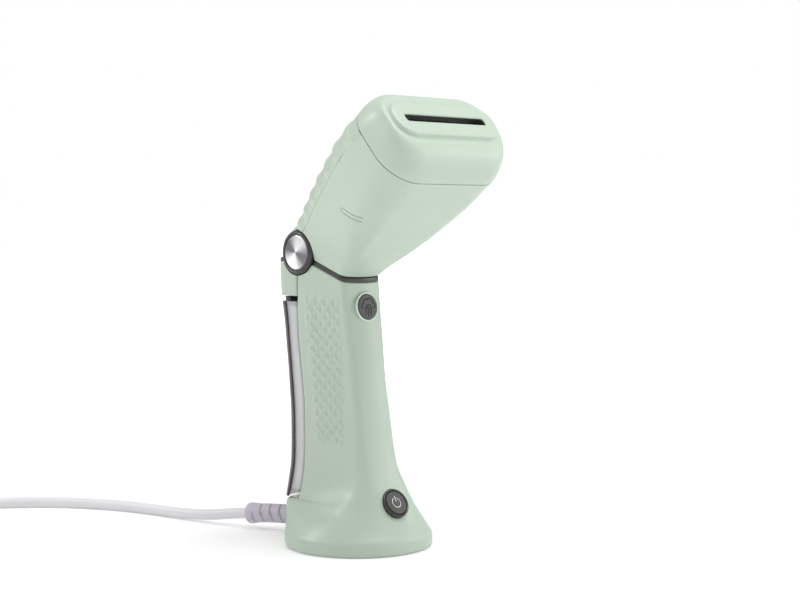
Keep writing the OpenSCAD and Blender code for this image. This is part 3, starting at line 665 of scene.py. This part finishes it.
def make_tie():
    """Strap over the bundle of turns, open towards the floor."""
    low, high = box_mm("cord_tie")
    x, y = (low[:2] + high[:2]) / 2
    half, top = (high[0] - low[0]) / 2, high[2]
    corner, thick, foot, width = 3.5, 1.2, 0.1, 8

    def side(inset):
        r = corner - inset
        return np.concatenate([
            [(half - inset, foot)], arc(half - corner, top - corner, r, 0, math.pi / 2, 9),
            arc(corner - half, top - corner, r, math.pi / 2, math.pi, 9), [(inset - half, foot)]])

    loop = np.concatenate([side(0), side(thick)[::-1]])
    rows = [np.column_stack([x + loop[:, 0], np.full(len(loop), y + d), loop[:, 1]])
            for d in (-width / 2, width / 2)]
    obj = add_object("lead_tie", *skin(rows), MATERIALS["dark_plastic"])
    soften(obj, 0.3)
    return piece(obj, "handle", "dark_plastic", "cord_tie")


CORD = make_cord()
RELIEF = make_relief()
PLUG = make_plug()
PINS = make_pins()
TIE = make_tie()


# ---------- base and handle ----------

# Front edge of the handle at each height: y, half width, corner radius, bulge
FRONT_Z = [0.4, RIM_H, 12, 17, 22, 25.6, 37, 48, 60, 80, 100, 120, 138, 150, 159.1]
FRONT = table_curve(FRONT_Z, [
    (-BASE_R, BASE_R, BASE_R - 0.6, 0), (-BASE_R, BASE_R, BASE_R - 0.6, 0), (-41.4, 41.5, 40, 0),
    (-37.4, 37, 33, 0.3), (-34.3, 31, 25, 0.8), (-32.4, 28, 21.5, 1), (-26.5, 20, 11, 2),
    (-20.5, 17, 7.5, 3), (-17.6, 15.6, 5.5, 3), (-14.4, 14.7, 4.6, 3), (-11, 14.2, 4.2, 3),
    (-8.4, 14.6, 4, 3), (-5.6, 15.2, 3.6, 3), (-4, 15.4, 3.4, 2.5), (-2.9, NECK_HALF, 3.4, 2.5)])
# Rear of the base below the tank's shelf: z, y, half width, corner radius
BASE_REAR = table_curve([0.4, RIM_H, 12, 17, 22, 25.6, 26.5], [
    (0.4, BASE_R, BASE_R, BASE_R - 0.6), (RIM_H, BASE_R, BASE_R, BASE_R - 0.6), (12, 44.2, 41, 38),
    (17, 44.5, 36, 30), (22, 44, 31, 20), (25.2, 44, 27.6, 15), (26.1, 43.2, 26.8, 14.4)])
# Rear of the grip, where the tank starts
TOP_REAR_Z = PIVOT[1] - TRIM_T / math.cos(SEAM_SLOPE) - 0.1
GRIP_REAR = table_curve([27, 37, 48, 60, 80, 100, 120, 138, 150, 159.1], [
    (26.6, 28, 24.8, 2.2), (37, 27.4, 22, 2), (48, 26.8, 21, 2), (60, 26.6, 20.5, 2),
    (80, 26.8, 20.5, 2), (100, 28.6, 20.5, 2), (120, 31.6, 20.5, 2), (138, 33.4, 20.2, 2),
    (156, 34, 19.8, 2), (TOP_REAR_Z, PIVOT[0], 19.4, 2)])
HANDLE_RING = Outline(9, 9, 78, 5, 5)
GRIP_Z = (62.0, 148.0)
GRIP_CELL = (7.0, 7.7)
GRIP_RISE = 1.1


def handle_station(z, on_shelf=True):
    y, wf, rf, bulge = FRONT(z)
    rear_z, rear, wr, rr = GRIP_REAR(z) if on_shelf else BASE_REAR(z)
    return [y, z, rear, rear_z, wf, rf, wr, rr, bulge]


def grip_relief(z):
    """Rise of the crossing ridges over depth d behind the front edge, at this height."""
    if not GRIP_Z[0] - 4 < z < GRIP_Z[1] + 4:
        return None
    front = FRONT(z)[0]
    share = (z - GRIP_Z[0]) / (GRIP_Z[1] - GRIP_Z[0])
    low, high = -4.8 + 5.2 * share, 15.5 + 11.5 * share

    def lift(d):
        y = d + front
        p, q = (y - (low + high) / 2) / GRIP_CELL[0], z / GRIP_CELL[1]
        u, v = (p + q) % 1 - 0.5, (p - q) % 1 - 0.5
        ridge = (2 * np.maximum(np.abs(u), np.abs(v))) ** 1.6
        inside = np.clip(np.minimum(y - low, high - y) / 2.5 + 0.4, 0, 1)
        ends = np.clip(min(z - GRIP_Z[0], GRIP_Z[1] - z) / 3 + 0.4, 0, 1)
        return GRIP_RISE * ridge * inside * ends
    return lift


def lip(top, radius, steps=4):
    """Pairs of height and inset that round a wall's upper edge."""
    return [(top - radius * (1 - math.sin(a)), radius * (1 - math.cos(a)))
            for a in np.linspace(0, math.pi / 2, steps + 1)]


def button_frame(bezel, joint_name, face):
    """Frame at a button's seat, Z outward; face is how far the bezel's middle lies outside the seat."""
    out = -np.array(joint(joint_name)["axis"])
    return along_axis(middle(bezel) - out * face, out)


TRIGGER = button_frame("trigger_bezel", "trigger_press", -0.8)
POWER = button_frame("power_bezel", "power_press", -0.8)
TRIGGER_R = 8.0
POWER_R = 8.0


def drill(place, radius, low, high):
    return placed(lathe([(0, low), (radius, low), (radius, high), (0, high)], 96), place)


def make_handle():
    ring = HANDLE_RING.ring
    outer = [ring(handle_station(z, False), inset) for z, inset in
             [(0.4, 0.9), (0.55, 0.5), (0.9, 0.15), (1.5, 0)]]
    outer += [ring(handle_station(z, False)) for z in np.linspace(2.4, 25.4, 26)]
    outer += [ring(handle_station(z, False)) for z in (26.0, 26.5)]
    outer += [ring(handle_station(z)) for z in np.linspace(27.4, 60, 18)]
    outer += [ring(handle_station(z), 0, None, grip_relief(z)) for z in np.linspace(60.4, 151, 200)]
    outer += [ring(handle_station(z)) for z in np.linspace(152, 158.3, 7)]
    outer += [ring(handle_station(z), inset) for z, inset in lip(159.1, 0.7)]
    inner = [ring(handle_station(z), WALL) for z in np.linspace(159.1, 30, 16)]
    inner += [ring(handle_station(z, False), WALL) for z in (24, 20, 15, 10, 6, 2, 0.4)]
    obj = add_object("handle_body", *skin(outer + inner, looped=True), MATERIALS["green_shell"])
    exit_frame = along_axis(CORD_EXIT, np.array(LEAD_ROUTE[0]) - CORD_EXIT)
    cut(obj, [rod(HINGE_GAP_R, -30, 30), drill(TRIGGER, TRIGGER_R + 0.4, -8, 8),
              drill(POWER, POWER_R + 1.1, -10, 10), drill(exit_frame, 7.0, -8, 8)])
    return piece(obj, "handle", "green_shell", "handle_shell")


def collar_rows(inset=0.0):
    """Lower and upper ring of the dark collar, bent at the fold axis."""
    front_high = SEAM_FRONT + [2.6, 1]
    front_low = front_high - [0, TRIM_T / math.cos(SEAM_SLOPE)]
    rear_high = PIVOT + [21.3, -21.3 * math.tan(CAP_SLOPE)]
    rear_low = rear_high - [0, TRIM_T - 0.1]
    low = [*front_low, *rear_low, NECK_HALF, 3.4, 19.6, 8, 2.5]
    high = [*front_high, *rear_high, NECK_HALF - 0.2, 3.4, 19.4, 8, 2.5]
    return [COLLAR_RING.ring(low, inset, PIVOT - [0, TRIM_T]), COLLAR_RING.ring(high, inset, PIVOT)]


COLLAR_RING = Outline(8, 8, 30, 12, 8)


def make_collar(name, node, low, high):
    outer, inner = collar_rows(), collar_rows(2.2)
    obj = add_object(name, *skin(outer + inner[::-1], looped=True), MATERIALS["dark_trim"])
    soften(obj, 0.35)
    cut(obj, [rod(HINGE_GAP_R, -30, 30)])
    cut(obj, [block((-40, low, 130), (40, high, 210))], "INTERSECT")
    return piece(obj, "handle", "dark_trim", node)


REAR_Y = smooth_through([27, 36, 50, 75, 98, 120, 134, 150, 160, 175],
                        [45.2, 44.9, 43.6, 43.9, 45.8, 48.4, 50.2, 52.9, 54.2, 54.8])
EDGE_Y = smooth_through([27, 37, 48, 60, 80, 100, 120, 138, 156, 175],
                        [28, 27.4, 26.8, 26.6, 26.8, 28.6, 31.6, 33.4, 34, 34.1])
EDGE_W = smooth_through([27, 37, 48, 60, 120, 138, 156, 175],
                        [24.6, 22, 21, 20.5, 20.5, 20.2, 19.8, 19.4])
REAR_W = smooth_through([27, 37, 48, 60, 175], [23.6, 21.8, 20.9, 20.5, 20])
CAP_RING = Outline(8, 5, 16, 12, 10)
CAP_BOTTOM = 149.6


def make_rear_cap():
    top_rear = PIVOT + [21.3, -21.3 * math.tan(CAP_SLOPE) - TRIM_T]
    top_front = PIVOT + [0.7, -TRIM_T - 0.2]
    curve = table_curve([0, 0.45, 1], [
        [34.3, CAP_BOTTOM, REAR_Y(CAP_BOTTOM), CAP_BOTTOM, 19.9, 1.2, 20.2, 8, 0],
        [34.3, 160, REAR_Y(160), 160, 19.7, 1.2, 20, 8, 0],
        [*top_front, *top_rear, 19.3, 1.2, 19.6, 8, 0]])
    steps = np.linspace(0, 1, 30)
    outer = [CAP_RING.ring(curve(t)) for t in steps]
    inner = [CAP_RING.ring(curve(t), WALL) for t in steps[::-3]]
    obj = add_object("rear_cap", *skin(outer + inner, looped=True), MATERIALS["green_shell"])
    soften(obj, 0.6, 3)
    cut(obj, [rod(HINGE_GAP_R, -30, 30)])
    return piece(obj, "handle", "green_shell", "rear_top_cap")


# ---------- tank ----------

TANK_LOW, TANK_HIGH = box_mm("water_tank")[0][2], box_mm("water_tank")[1][2]
TANK_RING = Outline(8, 5, 20, 12, 10)
SPINE_T = 1.6
WINDOW_GAP = 0.4


def tank_station(z, over_spine=False):
    """Section of the tank, or of the rear cover that wraps its two rear corners."""
    shrink, narrow, corner = (0, 0, 8) if over_spine else (SPINE_T + 0.1, SPINE_T * 0.6, 7)
    return [EDGE_Y(z) + WINDOW_GAP, z, REAR_Y(z) - shrink, z, EDGE_W(z), 2,
            REAR_W(z) - narrow, corner, 0.2]


def make_tank():
    heights = np.linspace(TANK_LOW, TANK_HIGH, 60)
    outer = [TANK_RING.ring(tank_station(z)) for z in heights]
    # the foot and the roof of the tank are thicker than its walls
    foot, roof, wall = 5, 3, 1.5
    hollow = [TANK_RING.ring(tank_station(z), wall)
              for z in np.linspace(TANK_LOW + foot, TANK_HIGH - roof, 30)]
    obj = add_object("tank_body", *skin(outer), MATERIALS["clear_tank"])
    soften(obj, 0.7, 3)
    cut(obj, [skin(hollow)])
    return piece(obj, "tank", "clear_tank", "water_tank")


def make_spine():
    heights = np.linspace(TANK_LOW, TANK_HIGH, 60)
    outer = [TANK_RING.ring(tank_station(z, True)) for z in heights]
    inner = [TANK_RING.ring([EDGE_Y(z) + WINDOW_GAP, z, REAR_Y(z) - SPINE_T, z, EDGE_W(z), 2,
                             REAR_W(z) - SPINE_T * 0.6 + 0.05, 7.05, 0.2]) for z in heights]
    obj = add_object("tank_rear_cover", *band(outer, inner, TANK_RING.aft_first, TANK_RING.aft_last),
                     MATERIALS["dark_trim"])
    soften(obj, 0.35)
    return piece(obj, "tank", "dark_trim", "tank_spine")


def make_latch():
    """Snap catch with a finger ledge and two ribs."""
    bottom = box_mm("tank_latch")[0][2]
    rows = []
    steps = ((0, 0.5), (0.15, 0.1), (0.5, 0), (1.2, 0), (1.35, 0.35), (1.6, 0.35), (1.75, 0),
             (2.3, 0), (2.6, 0.15), (2.7, 0.5))
    for d, inset in steps:
        z = bottom + d
        rows.append(CAP_RING.ring([44.7, z, REAR_Y(z) - 0.4, z, 16, 1, 15.5, 3.5, 0.1], inset))
    add_piece("tank_catch", skin(rows), "tank", "dark_trim", "tank_latch")


def make_stopper():
    low, high = box_mm("tank_stopper")
    x, y = (low[0] + high[0]) / 2, (low[1] + high[1]) / 2
    h = high[2] - low[2]
    profile = [(0, 0), (4.4, 0), (4.9, 0.5), (4.9, 1.9), (6.4, 2.1), (6.5, 2.6), (5.9, 3.4), (6.1, 3.8),
               (5.6, 5.2), (4.95, 5.4), (4.9, h - 0.5), (4.3, h), (2.4, h),
               (2.1, h - 1.2), (0, h - 1.2)]
    shape = placed(lathe(rounded(profile, 0.25), 64), along_axis((x, y, low[2]), (0, 0, 1), (0, 1, 0)))
    add_piece("filler_stopper", shape, "tank", "rubber_part", "tank_stopper")


# ---------- controls ----------

def relief_disc(radius, depth, rise, rings=70, sides=160, edge=0.5):
    """Button: a disc with a rounded rim whose top follows rise(x, y), as (points, faces)."""
    angles = np.arange(sides) * 2 * math.pi / sides
    rows = []
    for r in np.linspace(0, radius - edge, rings):
        x, y = r * np.cos(angles), r * np.sin(angles)
        rows.append(np.column_stack([x, y, depth + rise(x, y)]))
    for a in np.linspace(0.2, math.pi / 2, 6):
        r = radius - edge + edge * math.sin(a)
        rows.append(np.column_stack([r * np.cos(angles), r * np.sin(angles),
                                     np.full(sides, depth - edge * (1 - math.cos(a)))]))
    for r, h in ((radius, -3), (0, -3)):
        rows.append(np.column_stack([r * np.cos(angles), r * np.sin(angles), np.full(sides, h)]))
    return skin(rows, looped=True)


def stroke(distance, width):
    """1 inside a line of this half width, 0 outside, with soft flanks."""
    return np.clip((width + 0.1 - np.abs(distance)) / 0.14, 0, 1)


def cloud_mark(x, y):
    """Line drawing of a cloud with three jets under it."""
    puffs = [(-3.3, 0.4, 1.9), (-1.5, 2.6, 2.0), (1.4, 2.9, 2.2), (3.5, 0.6, 1.8)]
    cloud = np.min([np.hypot(x - a, y - b) - r for a, b, r in puffs], axis=0)
    lines = stroke(cloud, 0.34) * (y > -1.0)
    for a, low, high in ((-1.9, -4.4, -0.6), (0, -5.6, -0.4), (1.9, -4.4, -0.6)):
        along = np.maximum(0, np.abs(y - (low + high) / 2) - (high - low) / 2)
        lines = np.maximum(lines, stroke(np.hypot(x - a - 0.35 * np.sin(1.6 * y), along), 0.34))
    return lines


def power_mark(x, y):
    """Ring open at the top and a bar."""
    ring = stroke(np.hypot(x, y) - 3.0, 0.24) * ~((np.abs(x) < 1.2) & (y > 0))
    bar = stroke(np.hypot(x, np.maximum(0, np.abs(y - 2.3) - 1.5)), 0.28)
    return np.maximum(ring, bar)


def paint(obj, place, mark, index):
    """Gives the faces under a mark their own material."""
    origin, turn = place
    for face in obj.data.polygons:
        local = (np.array(face.center) / M - origin) @ turn
        if local[2] > 0 and mark(local[0:1], local[1:2])[0] > 0.5:
            face.material_index = index


def make_button(name, node, body, place, radius, depth, mark, colour):
    shape = relief_disc(radius, depth, lambda x, y: 0.25 * (1 - (x * x + y * y) / radius ** 2)
                        - 0.22 * mark(x, y))
    obj = add_object(name, *placed(shape, place), [BUTTON_GREY, colour], 50)
    paint(obj, place, mark, 1)
    return piece(obj, body, "dark_trim", node)


def make_bezel(name, node, place, profile, slot):
    add_piece(name, placed(lathe(rounded(profile, 0.35), 128), place), "handle", slot, node)


def make_controls():
    make_button("steam_trigger", "trigger_button", "trigger", TRIGGER, TRIGGER_R - 0.5, 1.0,
                cloud_mark, MARK_DARK)
    make_button("power_key", "power_button", "power", POWER, POWER_R - 0.7, 1.4,
                power_mark, MARK_WHITE)
    make_bezel("trigger_ring", "trigger_bezel", TRIGGER,
               [(TRIGGER_R - 0.3, -2.4), (TRIGGER_R + 0.35, -2.4), (TRIGGER_R + 0.35, -0.2),
                (TRIGGER_R + 1.0, -0.2), (TRIGGER_R + 0.9, 0.4), (TRIGGER_R + 0.4, 0.8),
                (TRIGGER_R - 0.3, 0.5)], "light_green_trim")
    make_bezel("power_ring", "power_bezel", POWER,
               [(POWER_R - 0.3, -3), (POWER_R + 1.05, -3), (POWER_R + 1.05, 1.1),
                (POWER_R + 0.6, 1.4), (POWER_R - 0.3, 1.0)], "dark_trim")


# ---------- hinge ----------

def make_hinge(side, word):
    """Bevelled dark ring and the turned metal cap in it, on one side."""
    face = box_mm("hinge_ring_" + word)
    outer = max(abs(face[0][0]), abs(face[1][0]))
    inner = min(abs(face[0][0]), abs(face[1][0]))
    depth = outer - inner
    place = along_axis((side * inner, *PIVOT), (side, 0, 0))
    seat = 2.2
    profile = [(0, 0), (RING_R, 0), (RING_R, depth - 1.5), (RING_R - 0.7, depth - 0.6),
               (RING_R - 1.7, depth), (CAP_R + 0.5, depth), (CAP_R + 0.1, depth - 0.4),
               (CAP_R + 0.1, seat), (0, seat)]
    add_piece("hinge_disc_" + word, placed(lathe(rounded(profile, 0.3), 160), place),
              "handle", "dark_trim", "hinge_ring_" + word)
    low, high = box_mm("hinge_cap_" + word)
    thick = high[0] - low[0]
    profile = [(0, 0), (CAP_R, 0), (CAP_R, 0.8), (CAP_R - 0.5, 1.2), (CAP_R - 0.9, 1.25),
               (CAP_R * 0.6, 1.42), (0, thick)]
    shape = placed(lathe(rounded(profile, 0.2), 160), along_axis((0, 0, 0), (side, 0, 0)))
    cap = add_object("hinge_badge_" + word, *shape, MATERIALS["brushed_cap"])
    start = min(abs(low[0]), abs(high[0]))
    # its own middle lies on the fold axis, because the turned finish is drawn round it
    cap.location = Vector((side * start, *PIVOT)) * M
    piece(cap, "handle", "brushed_cap", "hinge_cap_" + word)


# ---------- head ----------

def head_pt(u, v):
    """Height and depth of a point given along the head's axis and across it."""
    return SLOT_AT + [-u * math.cos(HEAD_TILT) + v * math.sin(HEAD_TILT),
                      u * math.sin(HEAD_TILT) + v * math.cos(HEAD_TILT)]


CAP_SEAM_U = -22.0
NECK_REAR = PIVOT + 17.5 * np.array([math.cos(math.radians(50)), math.sin(math.radians(50))])
HEAD = table_curve(range(7), [
    [*(SEAM_FRONT + [2.4, 1.6]), *NECK_REAR, NECK_HALF, 3.6, 18.4, 10, 2],
    [*head_pt(-104, -20.4), *head_pt(-118, 33), 19.5, 6, 22, 13, 2],
    [*head_pt(-92, -22.4), *head_pt(-102, 33.8), 25.5, 9, 26.5, 15, 2],
    [*head_pt(-78, -24.6), *head_pt(-84, 34.2), 31.5, 12, 31.5, 17, 1.6],
    [*head_pt(-62, -26.6), *head_pt(-65, 33.4), 37, 15, 36.5, 18.5, 1.2],
    [*head_pt(-44, -28.8), *head_pt(-45, 32.2), 42, 18, 41.5, 20, 0.6],
    [*head_pt(CAP_SEAM_U, -30.2), *head_pt(CAP_SEAM_U, 28.5), HEAD_HALF, 21, HEAD_HALF, 22, 0]])
HEAD_RING = Outline(14, 14, 26, 22, 14)
RIB_COUNT = 8
RIB_DEPTH = 0.9


def head_ring(t, inset=0.0, swell=0.0):
    """Ring of the head at t, from 0 at the neck to 6 at the nozzle cap."""
    s = HEAD(t)
    front, rear = np.array(s[:2]), np.array(s[2:4])
    rear = rear + swell * (rear - front) / np.linalg.norm(rear - front)
    straight, bent = front + (rear - front) * 0.69, PIVOT + [0, 0.3]
    knee = bent + (straight - bent) * min(t, 1)
    station = [*front, *rear, s[4], s[5], s[6] + swell, s[7] + swell, s[8]]
    return HEAD_RING.ring(station, inset, knee)


def rib(t):
    share = t / 6
    return RIB_DEPTH * max(0.0, math.sin(2 * math.pi * RIB_COUNT * share)) ** 0.7 if share < 0.97 else 0


def capsule_groove(side):
    """Tool for the shallow capsule outline low on the head's side."""
    start, end = np.array([side * 34.3, -24.4, 201.7]), np.array([side * 34.3, -41.5, 195.9])
    out = np.array([side * 0.94, 0.10, -0.32])
    along = (end - start) / np.linalg.norm(end - start)
    out = out - along * (out @ along)
    out = out / np.linalg.norm(out)
    across = np.cross(out, along)
    length = np.linalg.norm(end - start)
    r, half_width, depth, clear_above, bulge = 1.35, 0.22, 0.5, 4, 1.5
    turns = np.concatenate([np.linspace(math.pi / 2, 1.5 * math.pi, 17),
                            np.linspace(-math.pi / 2, math.pi / 2, 17)])
    ends = np.array([0.0] * 17 + [length] * 17)
    rows = []
    for width, height in ((-half_width, -depth), (half_width, -depth),
                          (half_width, clear_above), (-half_width, clear_above)):
        loop = np.stack([ends + (r + width) * np.cos(turns), (r + width) * np.sin(turns)], 1)
        # the side bulges between the mark's two ends
        bow = bulge * (1 - np.minimum(1, np.abs(loop[:, 0] - length / 2) / (length / 2)) ** 2)
        rows.append(start + np.outer(loop[:, 0], along) + np.outer(loop[:, 1], across)
                    + np.outer(bow + height, out))
    return skin(rows, looped=True)


def make_head():
    steps = np.linspace(0, 6, 121)
    outer = [head_ring(t) for t in steps]
    inner = [head_ring(t, WALL) for t in steps]
    first, last = HEAD_RING.aft_first, HEAD_RING.aft_last
    shell = add_object("head_body", *band(outer, inner, last, HEAD_RING.count + first),
                       MATERIALS["green_shell"])
    soften(shell, 0.3)
    cut(shell, [rod(HINGE_GAP_R, -30, 30), capsule_groove(-1), capsule_groove(1)])
    piece(shell, "head", "green_shell", "head_shell")
    ribbed = []
    for t, plain in zip(steps, outer):
        high = head_ring(t, 0, rib(t))
        # the ribs rise smoothly from the two parting lines
        place = np.arange(len(plain))
        fade = np.clip(np.minimum(place - first, last - place) / 4, 0, 1)
        ribbed.append(plain + (high - plain) * fade[:, None])
    for rows in (ribbed, inner):
        for ring in rows:
            for edge, nearby in ((first, first + 1), (last, last - 1)):
                step = ring[nearby] - ring[edge]
                ring[edge] += step / np.linalg.norm(step) * 0.2
    cover = add_object("head_back_cover", *band(ribbed, inner, first, last), MATERIALS["green_shell"])
    soften(cover, 0.3)
    cut(cover, [rod(HINGE_GAP_R, -30, 30)])
    piece(cover, "head", "green_shell", "head_rear_cover")


FACE_U = -2.6
PAD_HALF, PAD_V, PAD_R = 40.0, 12.5, 11.5
SLOT_HALF, SLOT_V, SLOT_R = 31.5, 2.7, 1.8
NOZZLE_RING = Outline(18, 16, 14, 16, 18)


def hood_ring(u, bend, inset=0.0):
    """Ring of the nozzle hood; bend goes from 0 at the seam to 1 at its face."""
    half = HEAD_HALF - 4.3 * bend
    return NOZZLE_RING.ring([*head_pt(u, -30.2 + 16.2 * bend), *head_pt(u, 28.5 - 11 * bend),
                             half, 21 - 7.5 * bend, half, 22 - 6 * bend, 0], inset)


def pad_ring(u, half, v, r, grow):
    return NOZZLE_RING.ring([*head_pt(u, -v - grow), *head_pt(u, v + grow),
                             half + grow, r + grow, half + grow, r + grow, 0])


def make_nozzle():
    """Hood, pad and slot in one skin; the slot's walls below their green lip take the dark material as painted
    shade inside the slot.
    """
    start = CAP_SEAM_U + 0.35
    depth = FACE_U - start
    rows = [hood_ring(start + 0.05, 0, 0.35), hood_ring(start + 0.15, 0, 0.12)]
    for a in np.linspace(0.03, math.pi / 2, 24):
        rows.append(hood_ring(start + depth * math.sin(a), 1 - math.cos(a)))
    for u, grow in ((FACE_U, 1.2), (FACE_U + 0.1, 0.8), (FACE_U + 0.35, 0.4), (FACE_U + 0.8, 0.12),
                    (-1.1, 0.0), (-0.6, -0.2), (-0.25, -0.6), (-0.06, -1.2), (0, -1.9)):
        rows.append(pad_ring(u, PAD_HALF, PAD_V, PAD_R, grow))
    for u, grow in ((0, 0.8), (-0.06, 0.4), (-0.25, 0.12), (-0.6, 0), (-0.9, 0)):
        rows.append(pad_ring(u, SLOT_HALF, SLOT_V, SLOT_R, grow))
    rows += [pad_ring(u, SLOT_HALF, SLOT_V, SLOT_R, 0) for u in (-2, -3.2, -4.2)]
    for a in np.linspace(1.2, 0, 8):
        rows.append(hood_ring(start + (depth - 2.8) * math.sin(a), 1 - math.cos(a), WALL))
    points, faces = skin(rows, looped=True)
    obj = add_object("nozzle_hood", points, faces,
                     [MATERIALS["green_shell"], MATERIALS["dark_plastic"]], 40)
    across = np.array([0, math.sin(HEAD_TILT), math.cos(HEAD_TILT)])
    along = np.array([0, -math.cos(HEAD_TILT), math.sin(HEAD_TILT)])
    # painted shade: faces deep in the slot take the dark material, for the shade that falls inside it
    for face in obj.data.polygons:
        at = np.array(face.center) / M - [0, *SLOT_AT]
        if at @ along < -0.85 and abs(at @ across) < SLOT_V + 0.1 and abs(at[0]) < SLOT_HALF + 0.1:
            face.material_index = 1
    return piece(obj, "head", "green_shell", "nozzle_cap")


make_handle()
make_collar("front_collar", "neck_trim", -40, PIVOT[0])
make_collar("rear_collar", "rear_trim", PIVOT[0], 80)
make_rear_cap()
make_tank()
make_spine()
make_latch()
make_stopper()
make_controls()
make_hinge(-1, "left")
make_hinge(1, "right")
make_head()
make_nozzle()


# ---------- floor and light ----------

def make_stage():
    """Pale floor that turns to plain white with distance, as an over-lit studio floor does."""
    size = 12.0
    mesh = bpy.data.meshes.new("floor")
    mesh.from_pydata([(-size, -size, 0), (size, -size, 0), (size, size, 0), (-size, size, 0)], [],
                     [(0, 1, 2, 3)])
    floor = new_object("floor", mesh)
    floor.location = (0, 0, -0.0003)
    look = Look(bpy.data.materials.new("pale_floor"))
    away = look.add("VectorMath", "Value", look.add("TexCoord", "Object"), operation="LENGTH")
    mesh.materials.append(look.material(
        Base_Color=(0.72, 0.72, 0.72, 1), Roughness=0.9, Specular_IOR_Level=0.1,
        Emission_Color=(1, 1, 1, 1), Emission_Strength=look.ramp(away, 0.2, 1.4, 0.26, 1.0)))


def area_light(name, place, target, size, power):
    data = bpy.data.lights.new(name, "AREA")
    data.shape = "DISK"
    data.size = size
    data.energy = power
    light = new_object(name, data)
    light.location = place
    light.rotation_euler = (Vector(target) - Vector(place)).to_track_quat("-Z", "Y").to_euler()


def make_light():
    scene = bpy.context.scene
    scene.view_settings.view_transform = "Standard"
    world = bpy.data.worlds.new("studio")
    look = Look(world)
    # the backdrop is burnt out to white, but lights the scene less than it shows
    seen = look.ramp(look.add("LightPath", "Is Camera Ray"), 0, 1, 0.6, 1.0)
    look.feed(look.tree.nodes["Background"], Color=(1, 1, 1, 1), Strength=seen)
    scene.world = world
    target = (0, -0.01, 0.15)
    area_light("overhead", (0.15, -0.35, 1.25), target, 0.8, 10)
    area_light("right_front", (1.1, -0.75, 0.5), target, 0.6, 4)
    area_light("left_side", (-0.75, 0.75, 0.75), target, 0.2, 4)


make_stage()
make_light()
